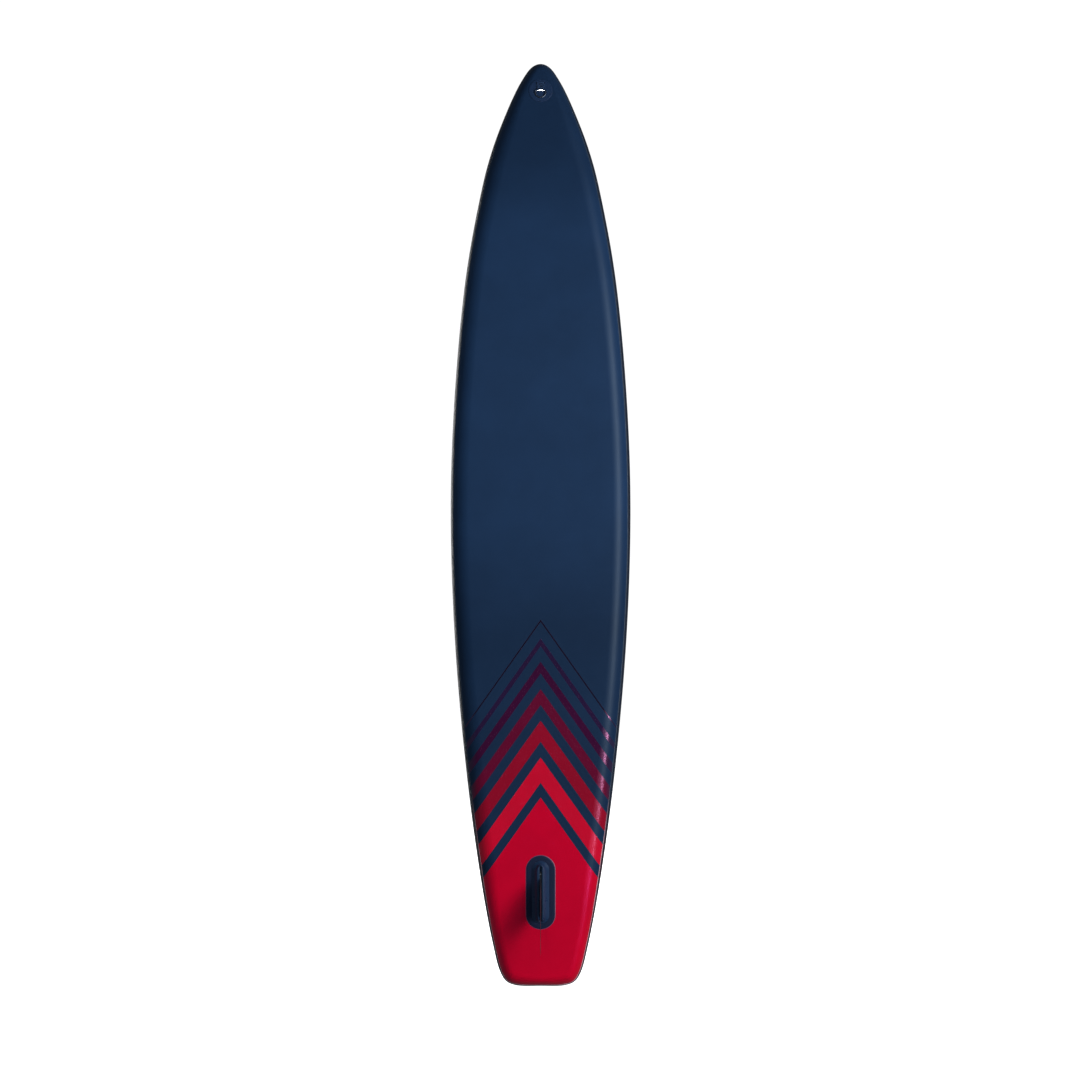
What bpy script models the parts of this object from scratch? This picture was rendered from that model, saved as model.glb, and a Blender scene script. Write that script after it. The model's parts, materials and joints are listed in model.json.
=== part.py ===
"""A touring stand up paddleboard: an inflatable drop-stitch hull with its fin, rings, handles and valve.

+Z runs from the tail's end to the nose, the underside faces -Y and the deck faces +Y. Seen from the
underside, +X is to the right. The origin is the middle of the tail's end, halfway through the thickness.
"""

import math

import bmesh
import bpy
import numpy as np
from mathutils import Matrix, Vector

# Hull. OUTLINE is half of the plan as (x, z), from the middle of the tail to the tip of the nose.
LENGTH = 3.81
THICKNESS = 0.152
OUTLINE = [
    (0, 0), (0.096, 0.002), (0.139, 0.017), (0.166, 0.057), (0.1965, 0.172), (0.243, 0.42),
    (0.3, 0.834), (0.352, 1.413), (0.3695, 1.95), (0.3545, 2.406), (0.309, 2.902), (0.252, 3.233),
    (0.213, 3.4), (0.157, 3.564), (0.083, 3.73), (0.035, 3.797), (0, LENGTH),
]
NOSE_LIFT = 0.15
LIFT_START = 2.55
SIDE_REACH = 0.076
TAIL_REACH = 0.055
NOSE_REACH = 0.042
SKIN = 0.0012
BAND = 0.001
GAP = 0.0003
SKIN_DEPTH = BAND + GAP
WALL_DEPTH = SKIN_DEPTH + SKIN + GAP
WALL = 0.0009
CLOTH = 0.0007
BAND_EDGE = 30
SKIN_EDGE = 33
FACET = 15
FACE = THICKNESS / 2 - SKIN_DEPTH
LONG_STEP = 0.19
NOSE_STEP = 0.105
MERGE = 1e-6

# Drop-stitch core, in lengths that end at CORE_ENDS, each with so many rows of cells
CORE_NAMES = ["core_tail", "core_main", *(f"core_nose_{i}" for i in range(1, 6))]
CORE_ENDS = [0.07, 0.155, 2.5, 2.75, 3.0, 3.25, 3.5, 3.74]
CORE_ROWS = [1, 12, 6, 6, 6, 6, 6]
CORE_COLUMNS = (-1, -0.5, 0, 0.5, 1)
CORE_MARGIN = 0.01
THREAD = 0.004

# Deck pads
PAD = 0.005
PAD_ENDS = (0.2, 2.42)
PAD_MARGIN = 0.098
PAD_TOP = GAP + PAD
PAD_HOLE = (0.046, 0.19)
PAD_HOLE_RADIUS = 0.04
KICK = 0.02
KICK_PROFILE = [(0.232, 0), (0.236, 0.6), (0.243, 0.92), (0.25, 1), (0.259, 0.94), (0.275, 0.5), (0.292, 0)]
KICK_STATIONS = [(-0.104, 0.35), (-0.091, 1), (0, 1), (0.091, 1), (0.104, 0.35)]

# Fin box, with heights measured out of the underside
FLANGE_LENGTH = 0.3
FLANGE_WIDTH = 0.118
BOX_MIDDLE = 0.392
BOX_LENGTH = 0.256
BOX_WIDTH = 0.07
BOX_HEIGHT = 0.026
BOX_TOP_WIDTH = 0.028
SLOT = (0.272, 0.502)
SLOT_WIDTH = 0.0095
SLOT_FLOOR = 0.0028
GROOVE_WIDTH = 0.0155
GROOVE = (0.01, 0.0145)

# Fin
BLADE_BASE = (0.3, 0.452)
BLADE_DEPTH = 0.232
BLADE_RAKE = 0.201
BLADE_THICK = 0.0086
TAB = (0.3, 0.459)
TAB_THICK = 0.0088
TONGUE_END = 0.478
TONGUE = (0.014, 0.017)
SCREW_Z = 0.468
PIN_Z = 0.31
PIN = 0.002
PIN_HALF = 0.0072
SCREW = 0.002
SCREW_HEAD = 0.0038

# Rings
RING_WIRE = 0.00225
RING_HALF = 0.02125
RING_DROP = 0.0305
WEBBING = 0.0014
LOOP_WIDTH = 0.033
LOOP_BORE = RING_WIRE + 0.0006
LOOP_TAIL = 0.036
PATCH = 0.0014
PATCH_GAP = 0.0007
PATCH_TOP = PATCH_GAP + PATCH
BAR_HEIGHT = PATCH_TOP + GAP + LOOP_BORE + WEBBING
RINGS = {
    "nose_tow": (0, 3.685, -1, 0.049),
    "leash": (0, 0.118, 1, 0.04),
    "cargo_1": (-0.18, 2.66, 1, 0.04),
    "cargo_2": (0.18, 2.66, 1, 0.04),
    "cargo_3": (-0.15, 3.06, 1, 0.04),
    "cargo_4": (0.15, 3.06, 1, 0.04),
}

# Handles
HANDLE_Z = 1.8
NOSE_HANDLE_Z = 3.5
STRAP = 0.0025
STRAP_WIDTH = 0.038
STRAP_END_WIDTH = 0.014
STRAP_FOOT = 0.0085
NOSE_HANDLE_DROOP = math.radians(-40)

# Valve, with heights measured out of the deck
VALVE_X = -0.086
VALVE_Z = 0.118
BARREL = 0.019
THROAT = 0.013
FLANGE = 0.029
CAP_HINGE_Y = 0.0236
CAP_HINGE_HEIGHT = 0.0095

# Draws a side view as (y, height), which is then extruded along x.
SIDE_VIEW = Matrix(((0, 0, 1, 0), (1, 0, 0, 0), (0, 1, 0, 0), (0, 0, 0, 1)))

MATERIALS = {
    "underside_pvc": ((0.011, 0.028, 0.075), 0.45, 0),
    "deck_pvc": ((0.55, 0.56, 0.56), 0.5, 0),
    "rail_pvc": ((0.008, 0.012, 0.025), 0.5, 0),
    "patch_pvc": ((0.01, 0.025, 0.065), 0.5, 0),
    "wall_pvc": ((0.3, 0.31, 0.33), 0.6, 0),
    "core_cloth": ((0.7, 0.7, 0.66), 0.9, 0),
    "pad_foam": ((0.03, 0.05, 0.09), 0.9, 0),
    "webbing": ((0.012, 0.012, 0.014), 0.85, 0),
    "steel": ((0.75, 0.75, 0.75), 0.2, 1),
    "box_plastic": ((0.012, 0.02, 0.04), 0.4, 0),
    "fin_plastic": ((0.02, 0.022, 0.028), 0.3, 0),
    "brass": ((0.7, 0.5, 0.2), 0.3, 1),
    "valve_plastic": ((0.03, 0.03, 0.035), 0.4, 0),
    "seal_rubber": ((0.01, 0.01, 0.01), 0.7, 0),
}


def clear_scene():
    for obj in list(bpy.data.objects):
        bpy.data.objects.remove(obj)


def material(name):
    found = bpy.data.materials.get(name)
    if found:
        return found
    colour, roughness, metallic = MATERIALS[name]
    made = bpy.data.materials.new(name)
    made.use_nodes = True
    shader = made.node_tree.nodes["Principled BSDF"]
    shader.inputs["Base Color"].default_value = (*colour, 1)
    shader.inputs["Roughness"].default_value = roughness
    shader.inputs["Metallic"].default_value = metallic
    return made


def pivot(name, place):
    empty = bpy.data.objects.new(name, None)
    empty.location = place
    bpy.context.collection.objects.link(empty)
    return empty


def close(bm):
    """Merges points that meet and turns every face outwards."""
    bmesh.ops.remove_doubles(bm, verts=bm.verts, dist=MERGE)
    bmesh.ops.dissolve_degenerate(bm, edges=bm.edges, dist=MERGE)
    bmesh.ops.recalc_face_normals(bm, faces=bm.faces)
    if bm.calc_volume(signed=True) < 0:
        bmesh.ops.reverse_faces(bm, faces=bm.faces)


def add(name, bm, finish, holder=None):
    """Makes an object. The mesh's points are in world space; a holder becomes its parent and origin."""
    close(bm)
    if holder:
        bmesh.ops.translate(bm, verts=bm.verts, vec=-holder.location)
    mesh = bpy.data.meshes.new(name)
    bm.to_mesh(mesh)
    bm.free()
    mesh.materials.append(material(finish))
    mesh.shade_smooth()
    mesh.set_sharp_from_angle(angle=math.radians(40))
    obj = bpy.data.objects.new(name, mesh)
    obj.parent = holder
    bpy.context.collection.objects.link(obj)
    return obj


def join_or_cut(obj, tool_mesh, operation):
    """Puts a Boolean on obj, with a hidden tool made from a mesh in world space."""
    close(tool_mesh)
    mesh = bpy.data.meshes.new(f"{obj.name}_tool")
    tool_mesh.to_mesh(mesh)
    tool_mesh.free()
    tool = bpy.data.objects.new(f"{obj.name}_tool", mesh)
    tool.hide_render = True
    tool.display_type = "WIRE"
    bpy.context.collection.objects.link(tool)
    modifier = obj.modifiers.new(operation.lower(), "BOOLEAN")
    modifier.operation = operation
    modifier.object = tool


def faces_between(bm, first, second, wrap=False):
    """Quads between two rows of vertices of the same length."""
    count = len(first)
    for i in range(count if wrap else count - 1):
        j = (i + 1) % count
        bm.faces.new(dict.fromkeys((first[i], first[j], second[j], second[i])))


def sheet(outer, inner, ends=True):
    """A sheet with thickness, from two grids of points.

    Without ends, its first and last rows close by themselves.
    """
    bm = bmesh.new()
    grids = [[[bm.verts.new(p) for p in row] for row in grid] for grid in (outer, inner)]
    for grid in grids:
        for a, b in zip(grid, grid[1:]):
            faces_between(bm, a, b)
    top, under = grids
    for side in (0, -1):
        faces_between(bm, [row[side] for row in top], [row[side] for row in under])
        if ends:
            faces_between(bm, top[side], under[side])
    return bm


def tube(rings, bore=None):
    """A skin over closed rings of points. A bore, with the same rings inside, runs right through it."""
    bm = bmesh.new()
    outside = [[bm.verts.new(p) for p in ring] for ring in rings]
    for a, b in zip(outside, outside[1:]):
        faces_between(bm, a, b, wrap=True)
    if not bore:
        bm.faces.new(outside[0])
        bm.faces.new(outside[-1])
        return bm
    inside = [[bm.verts.new(p) for p in ring] for ring in bore]
    for a, b in zip(inside, inside[1:]):
        faces_between(bm, a, b, wrap=True)
    for end in (0, -1):
        faces_between(bm, outside[end], inside[end], wrap=True)
    return bm


def turned(frame, profile, count=24):
    """A closed profile of (radius, height) turned about the frame's Z."""
    bm = bmesh.new()
    rows = []
    for radius, height in profile:
        corners = circle(radius, count) if radius else [(0, 0)]
        ring = [bm.verts.new(frame @ Vector((x, y, height))) for x, y in corners]
        rows.append(ring if radius else ring * count)
    for a, b in zip(rows, rows[1:] + rows[:1]):
        if len(set(a + b)) > 2:
            faces_between(bm, a, b, wrap=True)
    return bm


def extruded(frame, outline, low, high, holes=()):
    """A plate in the frame's XY plane from an outline of (x, y), between two heights."""
    bm = bmesh.new()
    edges = []
    for loop in (outline, *holes):
        corners = [bm.verts.new((x, y, low)) for x, y in loop]
        edges += [bm.edges.new((a, b)) for a, b in zip(corners, corners[1:] + corners[:1])]
    bmesh.ops.triangle_fill(bm, edges=edges, use_beauty=True)
    grown = bmesh.ops.extrude_face_region(bm, geom=bm.faces[:])["geom"]
    raised = [v for v in grown if isinstance(v, bmesh.types.BMVert)]
    bmesh.ops.translate(bm, verts=raised, vec=(0, 0, high - low))
    bmesh.ops.transform(bm, verts=bm.verts, matrix=frame)
    return bm


def rounded(corners, radius, steps=3):
    """An outline of (x, y) with every corner rounded."""
    points = []
    count = len(corners)
    for i, corner in enumerate(corners):
        here = Vector(corner)
        back = (Vector(corners[i - 1]) - here).normalized()
        ahead = (Vector(corners[(i + 1) % count]) - here).normalized()
        half = back.angle(ahead) / 2
        centre = here + (back + ahead).normalized() * radius / math.sin(half)
        start = here + back * radius / math.tan(half) - centre
        end = here + ahead * radius / math.tan(half) - centre
        sweep = -start.angle_signed(end)
        for k in range(steps + 1):
            points.append(tuple(centre + Matrix.Rotation(sweep * k / steps, 2) @ start))
    return points


def rectangle(x, y, half_x, half_y, radius, steps=3):
    signs = ((-1, -1), (1, -1), (1, 1), (-1, 1))
    return rounded([(x + a * half_x, y + b * half_y) for a, b in signs], radius, steps)


def circle(radius, count, x=0, y=0):
    angles = [2 * math.pi * k / count for k in range(count)]
    return [(x + radius * math.cos(a), y + radius * math.sin(a)) for a in angles]


# ---------------------------------------------------------------- the hull's shape


def lift(z):
    """How far the middle of the thickness has curved towards the deck."""
    return NOSE_LIFT * max(0, (z - LIFT_START) / (LENGTH - LIFT_START)) ** 2


def lift_slope(z):
    return 2 * NOSE_LIFT * max(0, z - LIFT_START) / (LENGTH - LIFT_START) ** 2


def smooth(low, high, value):
    t = min(1, max(0, (value - low) / (high - low)))
    return t * t * (3 - 2 * t)


def side_reach(z):
    """How far in from the outline the rounded side meets the flat faces."""
    from_tail = TAIL_REACH + (SIDE_REACH - TAIL_REACH) * smooth(0.15, 0.6, z)
    return from_tail + (NOSE_REACH - SIDE_REACH) * smooth(3.4, LENGTH, z)


def curve_through(points, steps=24):
    """Points of the centripetal Catmull-Rom curve through the points, mirrored in x at both ends."""
    first, last = points[1], points[-2]
    knots = [Vector(p) for p in [(-first[0], first[1]), *points, (-last[0], last[1])]]
    made = []
    for a, b, c, d in zip(knots, knots[1:], knots[2:], knots[3:]):
        times = [0]
        for p, q in ((a, b), (b, c), (c, d)):
            times.append(times[-1] + math.sqrt((q - p).length))
        t0, t1, t2, t3 = times
        for k in range(steps):
            t = t1 + (t2 - t1) * k / steps
            ab = a.lerp(b, (t - t0) / (t1 - t0))
            bc = b.lerp(c, (t - t1) / (t2 - t1))
            cd = c.lerp(d, (t - t2) / (t3 - t2))
            abc = ab.lerp(bc, (t - t0) / (t2 - t0))
            bcd = bc.lerp(cd, (t - t1) / (t3 - t1))
            made.append(abc.lerp(bcd, (t - t1) / (t2 - t1)))
    return [*made, knots[-2]]


def stations():
    """(point, inward normal, reach) along half of the outline, closest where it turns."""
    fine = curve_through(OUTLINE)
    kept = [(fine[0], Vector((0, 1)))]
    turn = 0
    for before, here, after in zip(fine, fine[1:], fine[2:]):
        turn += (here - before).angle(after - here)
        longest = LONG_STEP if here.y < LIFT_START else NOSE_STEP
        if turn > math.radians(13) or (after - kept[-1][0]).length > longest:
            along = (after - before).normalized()
            kept.append((here, Vector((-along.y, along.x))))
            turn = 0
    kept.append((fine[-1], Vector((0, -1))))
    return [(point, inward, side_reach(point.y)) for point, inward in kept]


STATIONS = stations()


def facet_direction(angle):
    """(across, up) on a circle that is drawn with a corner every FACET degrees."""
    low = math.floor(angle / FACET) * FACET
    share = (angle - low) / FACET
    a, b = math.radians(low), math.radians(low + FACET)
    across = math.cos(a) + (math.cos(b) - math.cos(a)) * share
    return across, math.sin(a) + (math.sin(b) - math.sin(a)) * share


def side_point(station, side, angle, depth, least_x=0):
    """A point of the rounded side: 0 degrees is the widest line, 90 the deck and -90 the underside."""
    point, inward, reach = station
    across, up = facet_direction(angle)
    plan = point + inward * (reach - (reach - depth) * across)
    return Vector((side * max(plan.x, least_x), (THICKNESS / 2 - depth) * up + lift(plan.y), plan.y))


ROW_Z = [(p + n * r).y for p, n, r in STATIONS]


def face_y(z, side):
    """Where the skin's outer face lies on the faceted hull."""
    return side * FACE + np.interp(z, ROW_Z, [lift(row) for row in ROW_Z])


def on_hull(x, z, side):
    """A frame on the skin: its Y runs towards the nose and its Z out of the skin."""
    along = Vector((0, lift_slope(z), 1)).normalized()
    out = Vector((0, side, -side * lift_slope(z))).normalized()
    across = along.cross(out)
    frame = Matrix((across, along, out)).transposed().to_4x4()
    frame.translation = (x, face_y(z, side), z)
    return frame


# ---------------------------------------------------------------- the hull


def skin_row(station, face, depth):
    angles = [SKIN_EDGE, *range(45, 91, FACET)]
    left = [side_point(station, -1, face * a, depth) for a in angles]
    right = [side_point(station, 1, face * a, depth) for a in reversed(angles)]
    middle = Vector((0, left[-1].y, left[-1].z))
    return [*left, middle, *right]


def skin(name, face, finish):
    grids = [[skin_row(s, face, d) for s in STATIONS] for d in (SKIN_DEPTH, SKIN_DEPTH + SKIN)]
    return add(name, sheet(*grids, ends=False), finish)


def side_strip(name, side, angles, depths, every, finish):
    """A strip round one side, from tail to nose. It may use fewer stations before the nose lifts."""
    chosen = [s for i, s in enumerate(STATIONS) if i % every == 0 or s[0].y > LIFT_START]
    grids = [[[side_point(s, side, a, d, GAP) for a in angles] for s in chosen] for d in depths]
    add(name, sheet(*grids), finish)


def core(name, low, high, count):
    """Two cloth faces joined by columns of thread, which stop the inflated hull from becoming round."""
    plan = [p + n * (r + CORE_MARGIN) for p, n, r in STATIONS]
    rows = np.linspace(low + GAP / 2, high - GAP / 2, count + 1)
    widths = np.interp(rows, [p.y for p in plan], [p.x for p in plan])
    bm = bmesh.new()

    def grid(side, depth):
        height = face_y(rows, side) + side * (SKIN_DEPTH - depth)
        return [[bm.verts.new((x * c, y, z)) for c in CORE_COLUMNS] for x, y, z in zip(widths, height, rows)]

    inner = {}
    for side in (-1, 1):
        outer = grid(side, WALL_DEPTH)
        inner[side] = grid(side, WALL_DEPTH + CLOTH)
        for a, b in zip(outer, outer[1:]):
            faces_between(bm, a, b)
        for end in (0, -1):
            faces_between(bm, outer[end], inner[side][end])
            faces_between(bm, [row[end] for row in outer], [row[end] for row in inner[side]])
    for i in range(count):
        for j in range(len(CORE_COLUMNS) - 1):
            cells = {s: [*g[i][j : j + 2], *reversed(g[i + 1][j : j + 2])] for s, g in inner.items()}
            if (i + j) % 3 == 1:
                thread_column(bm, cells)
            else:
                for cell in cells.values():
                    bm.faces.new(cell)
    return add(name, bm, "core_cloth")


def thread_column(bm, cells):
    """A square column between two facing cells, given by side."""
    ends = {}
    for side, cell in cells.items():
        x, y, z = sum((v.co for v in cell), Vector()) / len(cell)
        around = [(-1, -1), (1, -1), (1, 1), (-1, 1)]
        ends[side] = [bm.verts.new((x + a * THREAD, y, z + b * THREAD)) for a, b in around]
        faces_between(bm, cell, ends[side], wrap=True)
    faces_between(bm, ends[-1], ends[1], wrap=True)


def hull():
    skin("bottom_skin", -1, "underside_pvc")
    deck = skin("deck_skin", 1, "deck_pvc")
    strips = {"left": -1, "right": 1}
    for word, side in strips.items():
        band = range(-BAND_EDGE, BAND_EDGE + 1, FACET)
        side_strip(f"rail_band_{word}", side, band, (0, BAND), 1, "rail_pvc")
        wall = range(-90, 91, 2 * FACET)
        side_strip(f"side_wall_{word}", side, wall, (WALL_DEPTH, WALL_DEPTH + WALL), 2, "wall_pvc")
    lengths = [core(*each) for each in zip(CORE_NAMES, CORE_ENDS, CORE_ENDS[1:], CORE_ROWS)]
    frame = on_hull(VALVE_X, VALVE_Z, 1)
    for obj in (deck, lengths[0]):
        join_or_cut(obj, extruded(frame, circle(BARREL + 0.0006, 20), -0.02, 0.02), "DIFFERENCE")


# ---------------------------------------------------------------- pads


def half_width(z):
    fine = curve_through(OUTLINE, 6)
    return float(np.interp(z, [p.y for p in fine], [p.x for p in fine]))


def pads():
    low, high = PAD_ENDS
    side = [(half_width(z) - PAD_MARGIN, z) for z in np.linspace(low + 0.03, high - 0.12, 10)]
    corner = (side[0][0] - 0.02, low)
    tip = [(side[-1][0] * 0.86, high - 0.05), (side[-1][0] * 0.5, high - 0.012), (side[-1][0] * 0.16, high)]
    right = [corner, *side, *tip]
    outline = right + [(-x, z) for x, z in reversed(right)]
    hole = rectangle(0, HANDLE_Z, *PAD_HOLE, PAD_HOLE_RADIUS)
    # Outlines here are drawn as (x, z), so this frame's Z runs out of the deck and it is left-handed.
    frame = Matrix(((1, 0, 0, 0), (0, 0, 1, FACE), (0, 1, 0, 0), (0, 0, 0, 1)))
    add("deck_pad", extruded(frame, outline, GAP, PAD_TOP, [hole]), "pad_foam")
    base = FACE + PAD_TOP + GAP
    rings = [[(x, base + KICK * share * h, z) for z, h in KICK_PROFILE] for x, share in KICK_STATIONS]
    add("kick_pad", tube(rings), "pad_foam")


# ---------------------------------------------------------------- fin box and fin

UNDER = Matrix(((1, 0, 0, 0), (0, 0, -1, -FACE), (0, 1, 0, 0), (0, 0, 0, 1)))


def stadium(half_across, half_length, steps=8):
    """A long outline about BOX_MIDDLE, with round ends."""
    straight = half_length - half_across
    points = []
    for sign in (1, -1):
        for k in range(steps + 1):
            a = math.pi * k / steps
            along = straight + half_across * math.sin(a)
            points.append((sign * half_across * math.cos(a), BOX_MIDDLE + sign * along))
    return points


def fin_box():
    layers = ((0, GAP), (0, 0.0018), (0.003, 0.0026))
    half = (FLANGE_WIDTH / 2, FLANGE_LENGTH / 2)
    opening = (BOX_WIDTH / 2 + GAP, BOX_LENGTH / 2 + GAP)
    outside = [[UNDER @ Vector((*p, h)) for p in stadium(half[0] - i, half[1] - i)] for i, h in layers]
    inside = [[UNDER @ Vector((*p, h)) for p in stadium(*opening)] for _, h in layers]
    add("fin_box_flange", tube(outside, inside), "patch_pvc")

    inset = (BOX_WIDTH - BOX_TOP_WIDTH) / 2
    layers = ((0, GAP), (0, 0.003), (0.009, 0.011), (inset - 0.002, BOX_HEIGHT - 0.001), (inset, BOX_HEIGHT))
    half = (BOX_WIDTH / 2, BOX_LENGTH / 2)
    rings = []
    for i, h in layers:
        across = 1 - i / half[0]
        along = 1 - min(i, 0.012) / half[1]
        ring = [(x * across, BOX_MIDDLE + (z - BOX_MIDDLE) * along) for x, z in stadium(*half)]
        rings.append([UNDER @ Vector((x, z, h)) for x, z in ring])
    box = add("fin_box", tube(rings), "box_plastic")
    middle, length = sum(SLOT) / 2, (SLOT[1] - SLOT[0]) / 2
    slot = rectangle(0, middle, SLOT_WIDTH / 2, length, SLOT_WIDTH / 2 - 0.0005)
    groove = rectangle(0, middle, GROOVE_WIDTH / 2, length, 0.002, 1)
    join_or_cut(box, extruded(UNDER, slot, SLOT_FLOOR, BOX_HEIGHT + 0.01), "DIFFERENCE")
    join_or_cut(box, extruded(UNDER, groove, *GROOVE), "DIFFERENCE")
    # The nut plate and the roll pin drop in through a round mouth at the slot's tail end.
    mouth = circle(GROOVE_WIDTH / 2, 16, 0, SLOT[0] + GROOVE_WIDTH / 2)
    join_or_cut(box, extruded(UNDER, mouth, GROOVE[0] + 0.001, BOX_HEIGHT + 0.01), "DIFFERENCE")


def blade_section(t):
    """One section of the fin, with t from 0 at the box to 1 at the tip."""
    base = sum(BLADE_BASE) / 2
    chord = (BLADE_BASE[1] - BLADE_BASE[0]) * math.sqrt(1 - min(t, 0.997) ** 3.2)
    middle = base - BLADE_RAKE * t**1.5
    thick = BLADE_THICK / 2 * (1 - 0.72 * t)
    foil = [(0, 0.12), (0.05, 0.55), (0.3, 1), (0.65, 0.72), (1, 0.12)]
    height = 0.02 + (BLADE_DEPTH - 0.02) * t
    front = middle + chord / 2
    sides = [(thick * h, front - chord * c) for c, h in foil]
    return [UNDER @ Vector((x, z, height)) for x, z in sides + [(-x, z) for x, z in reversed(sides)]]


def fin():
    holder = pivot("fin_pivot", (0, -FACE - 0.012, SCREW_Z))
    levels = (0, 0.16, 0.32, 0.48, 0.64, 0.78, 0.89, 0.96, 1)
    blade = add("fin_blade", tube([blade_section(t) for t in levels]), "fin_plastic", holder)
    across = UNDER @ SIDE_VIEW
    low = SLOT_FLOOR + 0.0007
    top = BOX_HEIGHT + 0.001
    tab = [
        (TAB[0], low), (TAB[1], low), (TAB[1], TONGUE[0]), (TONGUE_END, TONGUE[0]),
        (TONGUE_END, TONGUE[1]), (TAB[1], TONGUE[1]), (BLADE_BASE[1] - 0.003, top), (TAB[0], top),
    ]
    join_or_cut(blade, extruded(across, tab, -TAB_THICK / 2, TAB_THICK / 2), "UNION")
    join_or_cut(blade, extruded(UNDER, circle(SCREW + 0.0004, 12, 0, SCREW_Z), 0, 0.02), "DIFFERENCE")
    pin_height = sum(GROOVE) / 2
    pin_hole = circle(PIN + GAP, 12, PIN_Z, pin_height)
    join_or_cut(blade, extruded(across, pin_hole, -0.01, 0.01), "DIFFERENCE")
    pin = circle(PIN, 12, PIN_Z, pin_height)
    add("fin_roll_pin", extruded(across, pin, -PIN_HALF, PIN_HALF), "brass", holder)
    plate = rectangle(0, SCREW_Z, 0.0072, 0.006, 0.001, 1)
    hole = circle(SCREW + GAP, 12, 0, SCREW_Z)
    nut = extruded(UNDER, plate, GROOVE[0] + 0.0005, TONGUE[0] - GAP, [hole])
    add("fin_nut_plate", nut, "steel", holder)
    frame = UNDER @ Matrix.Translation((0, SCREW_Z, 0))
    turner = pivot("fin_screw_pivot", (0, -FACE - 0.012, SCREW_Z))
    head = TONGUE[1] + GAP
    profile = [
        (0, 0.006), (SCREW, 0.006), (SCREW, head), (SCREW_HEAD, head), (SCREW_HEAD, head + 0.0012),
        (0.0026, head + 0.0026), (0, head + 0.0026),
    ]
    screw = add("fin_screw", turned(frame, profile, 12), "steel", turner)
    join_or_cut(screw, extruded(frame, circle(0.0014, 6), head + 0.001, head + 0.004), "DIFFERENCE")


# ---------------------------------------------------------------- rings


def disc_patch(name, frame, radius, finish="patch_pvc"):
    profile = [(0, PATCH_GAP), (radius, PATCH_GAP), (radius - 0.0006, PATCH_TOP), (0, PATCH_TOP)]
    add(name, turned(frame, profile, 20), finish)


def webbing_loop(name, frame):
    """Webbing folded round the ring's bar, with both ends sewn flat on the patch towards the nose."""
    reach = LOOP_BORE + WEBBING
    base = PATCH_TOP + GAP
    top = base + 2 * WEBBING
    arc = [(reach * math.cos(a), BAR_HEIGHT + reach * math.sin(a)) for a in np.radians(range(45, 271, 25))]
    outline = [*arc, (LOOP_TAIL, base), (LOOP_TAIL, top), (reach * 1.6, top)]
    bore = circle(LOOP_BORE, 10, 0, BAR_HEIGHT)
    add(name, extruded(frame @ SIDE_VIEW, outline, -LOOP_WIDTH / 2, LOOP_WIDTH / 2, [bore]), "webbing")


def d_ring(name, frame, turn, holder):
    """A bar through the loop and a round bow below it; turn lifts it out of the patch's plane."""
    shoulder, straight = 0.004, 0.009
    path = [(RING_HALF * share, 0) for share in (-0.8, -0.3, 0.3, 0.8)]
    path.append((RING_HALF, -shoulder))
    for k in range(11):
        a = math.pi * k / 10
        path.append((RING_HALF * math.cos(a), -straight - (RING_DROP - straight) * math.sin(a)))
    path.append((-RING_HALF, -shoulder))
    tilt = frame @ Matrix.Translation((0, 0, BAR_HEIGHT)) @ Matrix.Rotation(turn, 4, "X")
    curve = bpy.data.curves.new(name, "CURVE")
    curve.dimensions = "3D"
    curve.bevel_depth = RING_WIRE
    curve.bevel_resolution = 1
    spline = curve.splines.new("POLY")
    spline.use_cyclic_u = True
    spline.points.add(len(path) - 1)
    for point, (x, y) in zip(spline.points, path):
        point.co = (*(tilt @ Vector((x, y, 0)) - holder.location), 1)
    curve.materials.append(material("steel"))
    obj = bpy.data.objects.new(name, curve)
    obj.parent = holder
    bpy.context.collection.objects.link(obj)


def rings():
    for name, (x, z, side, radius) in RINGS.items():
        frame = on_hull(x, z, side)
        disc_patch(f"{name}_patch", frame, radius)
        webbing_loop(f"{name}_loop", frame)
        # Gravity lays the ring against the underside's patch, and hangs it straight down from the deck.
        turn = math.radians(3) if side < 0 else -math.atan(lift_slope(z))
        holder = pivot(f"{name}_ring_pivot", frame @ Vector((0, 0, BAR_HEIGHT)))
        d_ring(f"{name}_ring", frame, turn, holder)


# ---------------------------------------------------------------- handles


def ribbon(frame, path, widths):
    """A strap whose middle follows a path of (y, height). Both of its ends are cut square to Y."""
    rows = {1: [], -1: []}
    for i, (here, width) in enumerate(zip(path, widths)):
        before, after = Vector(path[max(i - 1, 0)]), Vector(path[min(i + 1, len(path) - 1)])
        along = (after - before).normalized()
        out = Vector((0, 1)) if i in (0, len(path) - 1) else Vector((-along.y, along.x))
        for face in rows:
            at = Vector(here) + out * face * STRAP / 2
            rows[face].append([frame @ Vector((x * width / 2, *at)) for x in (-1, 1)])
    return sheet(rows[1], rows[-1])


def arch(span, rise, count):
    """The strap's middle line as (y, height), and its widths, from one end of the span to the other."""
    shares = [-1 + 2 * k / count for k in range(count + 1)]
    path = [(span * s, STRAP_FOOT + rise * math.cos(math.pi / 2 * s)) for s in shares]
    return shares, path


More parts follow.
